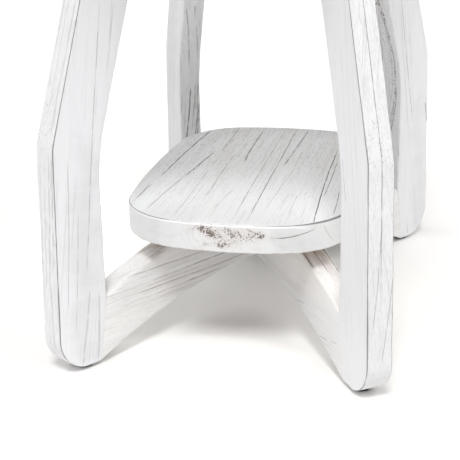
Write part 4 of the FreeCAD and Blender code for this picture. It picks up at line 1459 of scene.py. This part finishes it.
def wash_layers(tree, given, look):
    """Clouds, bands, brushed streaks, specks, and bare wood with painted shade, each as a share and a colour.
    """
    place, brush = given["place"], given["brush"]
    band = cloudy(tree, place, *BAND)
    return [
        (product(tree, cloudy(tree, place, *CLOUD), CLOUD_SHARE), GREY_WHITE),
        (product(tree, band, look["bands"], brush), WARM_GREY),
        (product(tree, given["ridges"], look["brushed"]), BRUSHED_GREY),
        (product(tree, cloudy(tree, place, *SPECK), look["specks"], brush), BRUSHED_GREY),
        # Bare wood, and on the stretchers painted shade, in the brown.
        (product(tree, band, given["bare"]), BARE_AND_SHADE_BROWN),
    ]


def end_layers(tree, given, rings):
    """Growth rings and blotches on end grain, and a painted highlight just under a less rubbed worn edge."""
    here, end_grain, arris = given["here"], given["end_grain"], given["arris"]
    ring = placed(tree, END_RINGS, place=here, **rings)["ring"]
    # A painted highlight: white just under the worn upper edge of an end, where its rounding would catch the
    # light.
    painted_highlight = product(tree, soft_step(tree, arris, *RIM_HIGHLIGHT_START), soft_step(tree, arris, *RIM_HIGHLIGHT_END))
    less_rubbed = soft_step(tree, given["rub"], *RIM_HIGHLIGHT_RUB)
    return [
        (product(tree, ring, end_grain, RING_SHARE), RING),
        (product(tree, cloudy(tree, here, *BLOTCH), end_grain, BLOTCH_SHARE), WARM_GREY),
        (product(tree, painted_highlight, less_rubbed, end_grain), RIM_HIGHLIGHT_WHITE),
    ]


def dark_lines(tree, given, look, streaks):
    """Short ticks and grain lines on side grain, and the long streaks of each face."""
    place, here, side_grain = given["place"], given["here"], given["side_grain"]
    dark = product(tree, cloudy(tree, place, *TICK), look["ticks"], given["brush"])
    for *numbers, strength in look["lines"]:
        line = placed(tree, GRAIN_LINES, place=place, **dict(zip(LINE_INPUTS, numbers)))["line"]
        dark = maths(tree, "MAXIMUM", dark, product(tree, line, strength))
    dark = product(tree, dark, side_grain)
    faces = {
        "across": (place, maths(tree, "SUBTRACT", side_grain, given["narrow"], clamp=True)),
        "through": (reordered(tree, place, (1, 0, 2)), given["narrow"]),
        "table": (reordered(tree, here, (0, 2, 1)), side_grain),
        "end": (reordered(tree, here, (2, 1, 0)), given["end_grain"]),
    }
    for kind, rows in streaks.items():
        if rows:
            face_place, face = faces[kind]
            line = product(tree, streak_lines(tree, face_place, rows), face)
            dark = maths(tree, "MAXIMUM", dark, line)
    return dark


def white_washed(name, look, streaks):
    """Layers of colour over white. Ridges, cracks, rubbed edges and pits also lower the surface."""
    material, tree, shader = new_material(name)
    given = finish_inputs(tree)
    place, marks = given["place"], look["marks"]
    dark = dark_lines(tree, given, look, streaks)
    edge = {"arris": given["arris"], "rub": given["rub"], "width": look["edge_width"]}
    rubbed = placed(tree, RUBBED_EDGE, place=place, **edge)["line"]
    torn = placed(tree, TORN_GRAIN, place=place, torn=given["torn"])
    layers = wash_layers(tree, given, look)
    if "rings" in look:
        layers += end_layers(tree, given, look["rings"])
    layers += [
        (dark, marks["crack"]),
        (product(tree, rubbed, RUBBED_SHARE), RUBBED),
        (product(tree, torn["stain"], STAIN_SHARE), marks["stain"]),
        (product(tree, torn["pits"], PIT_SHARE), marks["pit"]),
    ]
    tint = look["white"]
    for share, over in layers:
        tint = mixed(tree, share, tint, over)
    fill(tree, shader.inputs["Base Color"], tint)
    fill(tree, shader.inputs["Roughness"], maths(tree, "MULTIPLY_ADD", given["ridges"], *BRUSHED_ROUGHNESS))
    shader.inputs["Specular IOR Level"].default_value = SHEEN
    hollows = maths(tree, "MAXIMUM", maths(tree, "MAXIMUM", dark, rubbed), torn["pits"])
    height = maths(tree, "SUBTRACT", product(tree, given["ridges"], BRUSHED_DEPTH), hollows)
    add_relief(tree, shader, height, RELIEF_STRENGTH, RELIEF_DEPTH)
    return material


print("the finish reads", ", ".join(CARRIED), "and grain")

# %% [markdown]
# ## The look of each kind of board
# Each kind of board has its own numbers, because the shelf shows more grain than the legs do, and the
# stretchers are warmer than both. Each leg, stretcher and rail has its own streaks, so it has its own
# material. A row of lines gives their spacing, width, run, threshold, waver and seed, and last how dark
# they are.

# %% Looks of the wooden pieces
LEG_LOOK = {
    "white": colour(233, 233, 236),
    "marks": {"crack": colour(84, 79, 76), "pit": colour(96, 90, 86), "stain": colour(208, 206, 205)},
    "bands": 0.25, "brushed": 0.22, "ticks": 0.10, "specks": 0.06, "edge_width": 0.0008,
    "lines": (
        (0.015, 0.0005, 0.110, 0.50, 0.0015, 0.3, 0.32),
        (0.005, 0.0004, 0.070, 0.53, 0.0008, 5.7, 0.25),
    ),
}
STRETCHER_LOOK = {
    "white": colour(241, 239, 237),
    "marks": {"crack": colour(108, 90, 76), "pit": colour(100, 84, 76), "stain": colour(208, 198, 190)},
    "bands": 0.25, "brushed": 0.25, "ticks": 0.15, "specks": 0.10, "edge_width": 0.0006,
    "lines": (
        (0.014, 0.0006, 0.060, 0.54, 0.0015, 2.1, 0.32),
        (0.005, 0.0004, 0.040, 0.55, 0.0010, 8.9, 0.28),
    ),
}
BOARD_LOOK = {
    "white": colour(231, 231, 231),
    "marks": {"crack": colour(86, 78, 73), "pit": colour(98, 84, 77), "stain": colour(206, 191, 185)},
    "bands": 0.30, "brushed": 0.45, "ticks": 0.42, "specks": 0.30, "edge_width": 0.0008,
    "lines": (
        (0.011, 0.0005, 0.090, 0.54, 0.0015, 1.4, 0.35),
        (0.0045, 0.0004, 0.050, 0.55, 0.0010, 7.2, 0.35),
    ),
}
SHELF_RINGS = {"heart": -0.012, "heart_height": 0.146, "period": 1.0}
TOP_RINGS = {"heart": -0.02, "heart_height": 0.575, "period": 0.0812}
LOOKS = {
    "leg": LEG_LOOK,
    "stretcher": STRETCHER_LOOK,
    "rail": STRETCHER_LOOK,
    "shelf": BOARD_LOOK | {"rings": SHELF_RINGS},
    "top": BOARD_LOOK | {"rings": TOP_RINGS},
}
FINISHES = {}
for board, streaks in STREAKS.items():
    FINISHES[board] = white_washed(f"white_washed_{board}", LOOKS[kind_of(board)], streaks)
for name, piece in pieces.items():
    board = f"{kind_of(name)}_board" if "board" in name else name
    piece.data.materials.clear()
    piece.data.materials.append(FINISHES[board])
    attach(piece, "root")
    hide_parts(name)
print(len(FINISHES), "finishes on", len(pieces), "wooden pieces")

# %% [markdown]
# ## Dowels, screws, nails and foot pads
# These keep the shape of their solids, which is right already, and only get a finish. They are mostly
# hidden, but a part that is taken to pieces shows them. Their patterns are read in the room's own
# coordinates.

# %% Fasteners and feet
ROUGHNESS_RANGE, PLAIN_DETAIL, PLAIN_STRENGTH = 0.2, 3.0, 1.0


def plain_finish(name, tones, scale, roughness, metallic, depth):
    """Two close tones in a cloudy pattern, with roughness and relief from the same pattern."""
    material, tree, shader = new_material(name)
    cloud = noise(tree, room_place(tree), scale, PLAIN_DETAIL)
    fill(tree, shader.inputs["Base Color"], mixed(tree, cloud, *tones))
    fill(tree, shader.inputs["Roughness"], maths(tree, "MULTIPLY_ADD", cloud, ROUGHNESS_RANGE, roughness))
    shader.inputs["Metallic"].default_value = metallic
    add_relief(tree, shader, cloud, PLAIN_STRENGTH, depth)
    return material


DOWEL_TONES = colour(222, 196, 158), colour(198, 166, 124)
STEEL_TONES = colour(176, 176, 178), colour(140, 140, 143)
NYLON_TONES = colour(52, 50, 49), colour(40, 39, 38)
DOWEL_WOOD = plain_finish("dowel_wood", DOWEL_TONES, (220.0, 220.0, 700.0), 0.5, 0, 0.0003)
SCREW_STEEL = plain_finish("screw_steel", STEEL_TONES, (900.0, 900.0, 250.0), 0.25, 1, 0.0001)
PAD_NYLON = plain_finish("pad_nylon", NYLON_TONES, (1200.0, 1200.0, 1200.0), 0.45, 0, 0.0001)
SMALL_PARTS = {
    "stretcher_dowels": DOWEL_WOOD,
    "rail_dowels": DOWEL_WOOD,
    "shelf_screws": SCREW_STEEL,
    "top_screws": SCREW_STEEL,
    "foot_nails": SCREW_STEEL,
    "foot_pads": PAD_NYLON,
}
for name, material in SMALL_PARTS.items():
    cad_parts[name].data.materials.clear()
    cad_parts[name].data.materials.append(material)
print(len(SMALL_PARTS), "small parts have their finish")

# %% [markdown]
# ## Floor and light
# The photograph was taken on a white sweep in soft light, so the floor is a plain pale plane, and the
# shadow under the table is the darkest thing near it. A high lamp in front lights the shelf and lays its
# shadow on the floor. Two weaker, wider lamps at the sides reach in under the top, and a dim room fills
# what is left. The photograph's floor was cleaned to plain white beside the shadow and in front of it, so
# in two soft ovals the floor also shines a little, for the camera only.

# %% Floor
FLOOR_SIZE, FLOOR_COLOUR, FLOOR_ROUGHNESS, FLOOR_SHEEN = 40.0, (0.94, 0.93, 0.912, 1), 0.9, 0.1
# Ovals where the floor glows as painted light, for the camera only, each with its strength.
PAINTED_LIGHT_OVALS = ((-0.25, 0.17, 0.13, 0.20, 0.40), (-0.02, -0.18, 0.10, 0.045, 0.15))
OVAL_FADE = (1.3, 0.8)


def seen_directly(tree):
    return tree.nodes.new("ShaderNodeLightPath").outputs["Is Camera Ray"]


def floor_shine(tree):
    """Soft ovals of painted light on the floor, each with its middle, half width, half depth and strength."""
    here, total = room_place(tree), 0.0
    for x, y, half_width, half_depth, strength in PAINTED_LIGHT_OVALS:
        shrunk = vectors(tree, "MULTIPLY", here, (1 / half_width, 1 / half_depth, 1))
        off = vectors(tree, "DISTANCE", shrunk, (x / half_width, y / half_depth, 0))
        total = maths(tree, "MULTIPLY_ADD", soft_step(tree, off, *OVAL_FADE), strength, total)
    return product(tree, total, seen_directly(tree))


floor_mesh = bpy.data.meshes.new("floor")
corners = np.array([[-1, -1, 0], [1, -1, 0], [1, 1, 0], [-1, 1, 0]]) * FLOOR_SIZE / 2
floor_mesh.from_pydata(corners, [], [[0, 1, 2, 3]])
floor = new_piece("floor", floor_mesh)
floor_paint, floor_tree, floor_shader = new_material("floor_paint")
floor_shader.inputs["Base Color"].default_value = FLOOR_COLOUR
floor_shader.inputs["Roughness"].default_value = FLOOR_ROUGHNESS
floor_shader.inputs["Specular IOR Level"].default_value = FLOOR_SHEEN
fill(floor_tree, floor_shader.inputs["Emission Strength"], floor_shine(floor_tree))
floor_mesh.materials.append(floor_paint)
print("floor of", FLOOR_SIZE, "m with", len(PAINTED_LIGHT_OVALS), "white ovals")

# %% [markdown]
# ## Room and lamps
# The room is white where the camera sees it, as a backdrop, and dim as a light. A sun lamp with a wide
# angle stands for a large soft box: the wider it is, the softer is the edge of its shadow.

# %% Room and lamps
ROOM_LIGHT = 0.36
LAMPS = {
    "key_lamp": {"elevation": 59, "turn": 8, "spread": 16, "strength": 1.60},
    "left_lamp": {"elevation": 45, "turn": -70, "spread": 40, "strength": 0.90},
    "right_lamp": {"elevation": 45, "turn": 80, "spread": 40, "strength": 1.00},
}
world = bpy.data.worlds.new("studio")
world.use_nodes = True
background = world.node_tree.nodes["Background"]
background.inputs["Color"].default_value = (1, 1, 1, 1)
backdrop = (seen_directly(world.node_tree), 1 - ROOM_LIGHT, ROOM_LIGHT)
fill(world.node_tree, background.inputs["Strength"], maths(world.node_tree, "MULTIPLY_ADD", *backdrop))
bpy.context.scene.world = world
bpy.context.scene.view_settings.view_transform = "Standard"
for name, setting in LAMPS.items():
    lamp_data = bpy.data.lights.new(name, "SUN")
    lamp_data.energy = setting["strength"]
    lamp_data.angle = math.radians(setting["spread"])
    lamp = bpy.data.objects.new(name, lamp_data)
    lamp.rotation_euler = (math.radians(90 - setting["elevation"]), 0, math.radians(setting["turn"]))
    bpy.context.scene.collection.objects.link(lamp)
print(len(LAMPS), "lamps in a room of strength", ROOM_LIGHT)
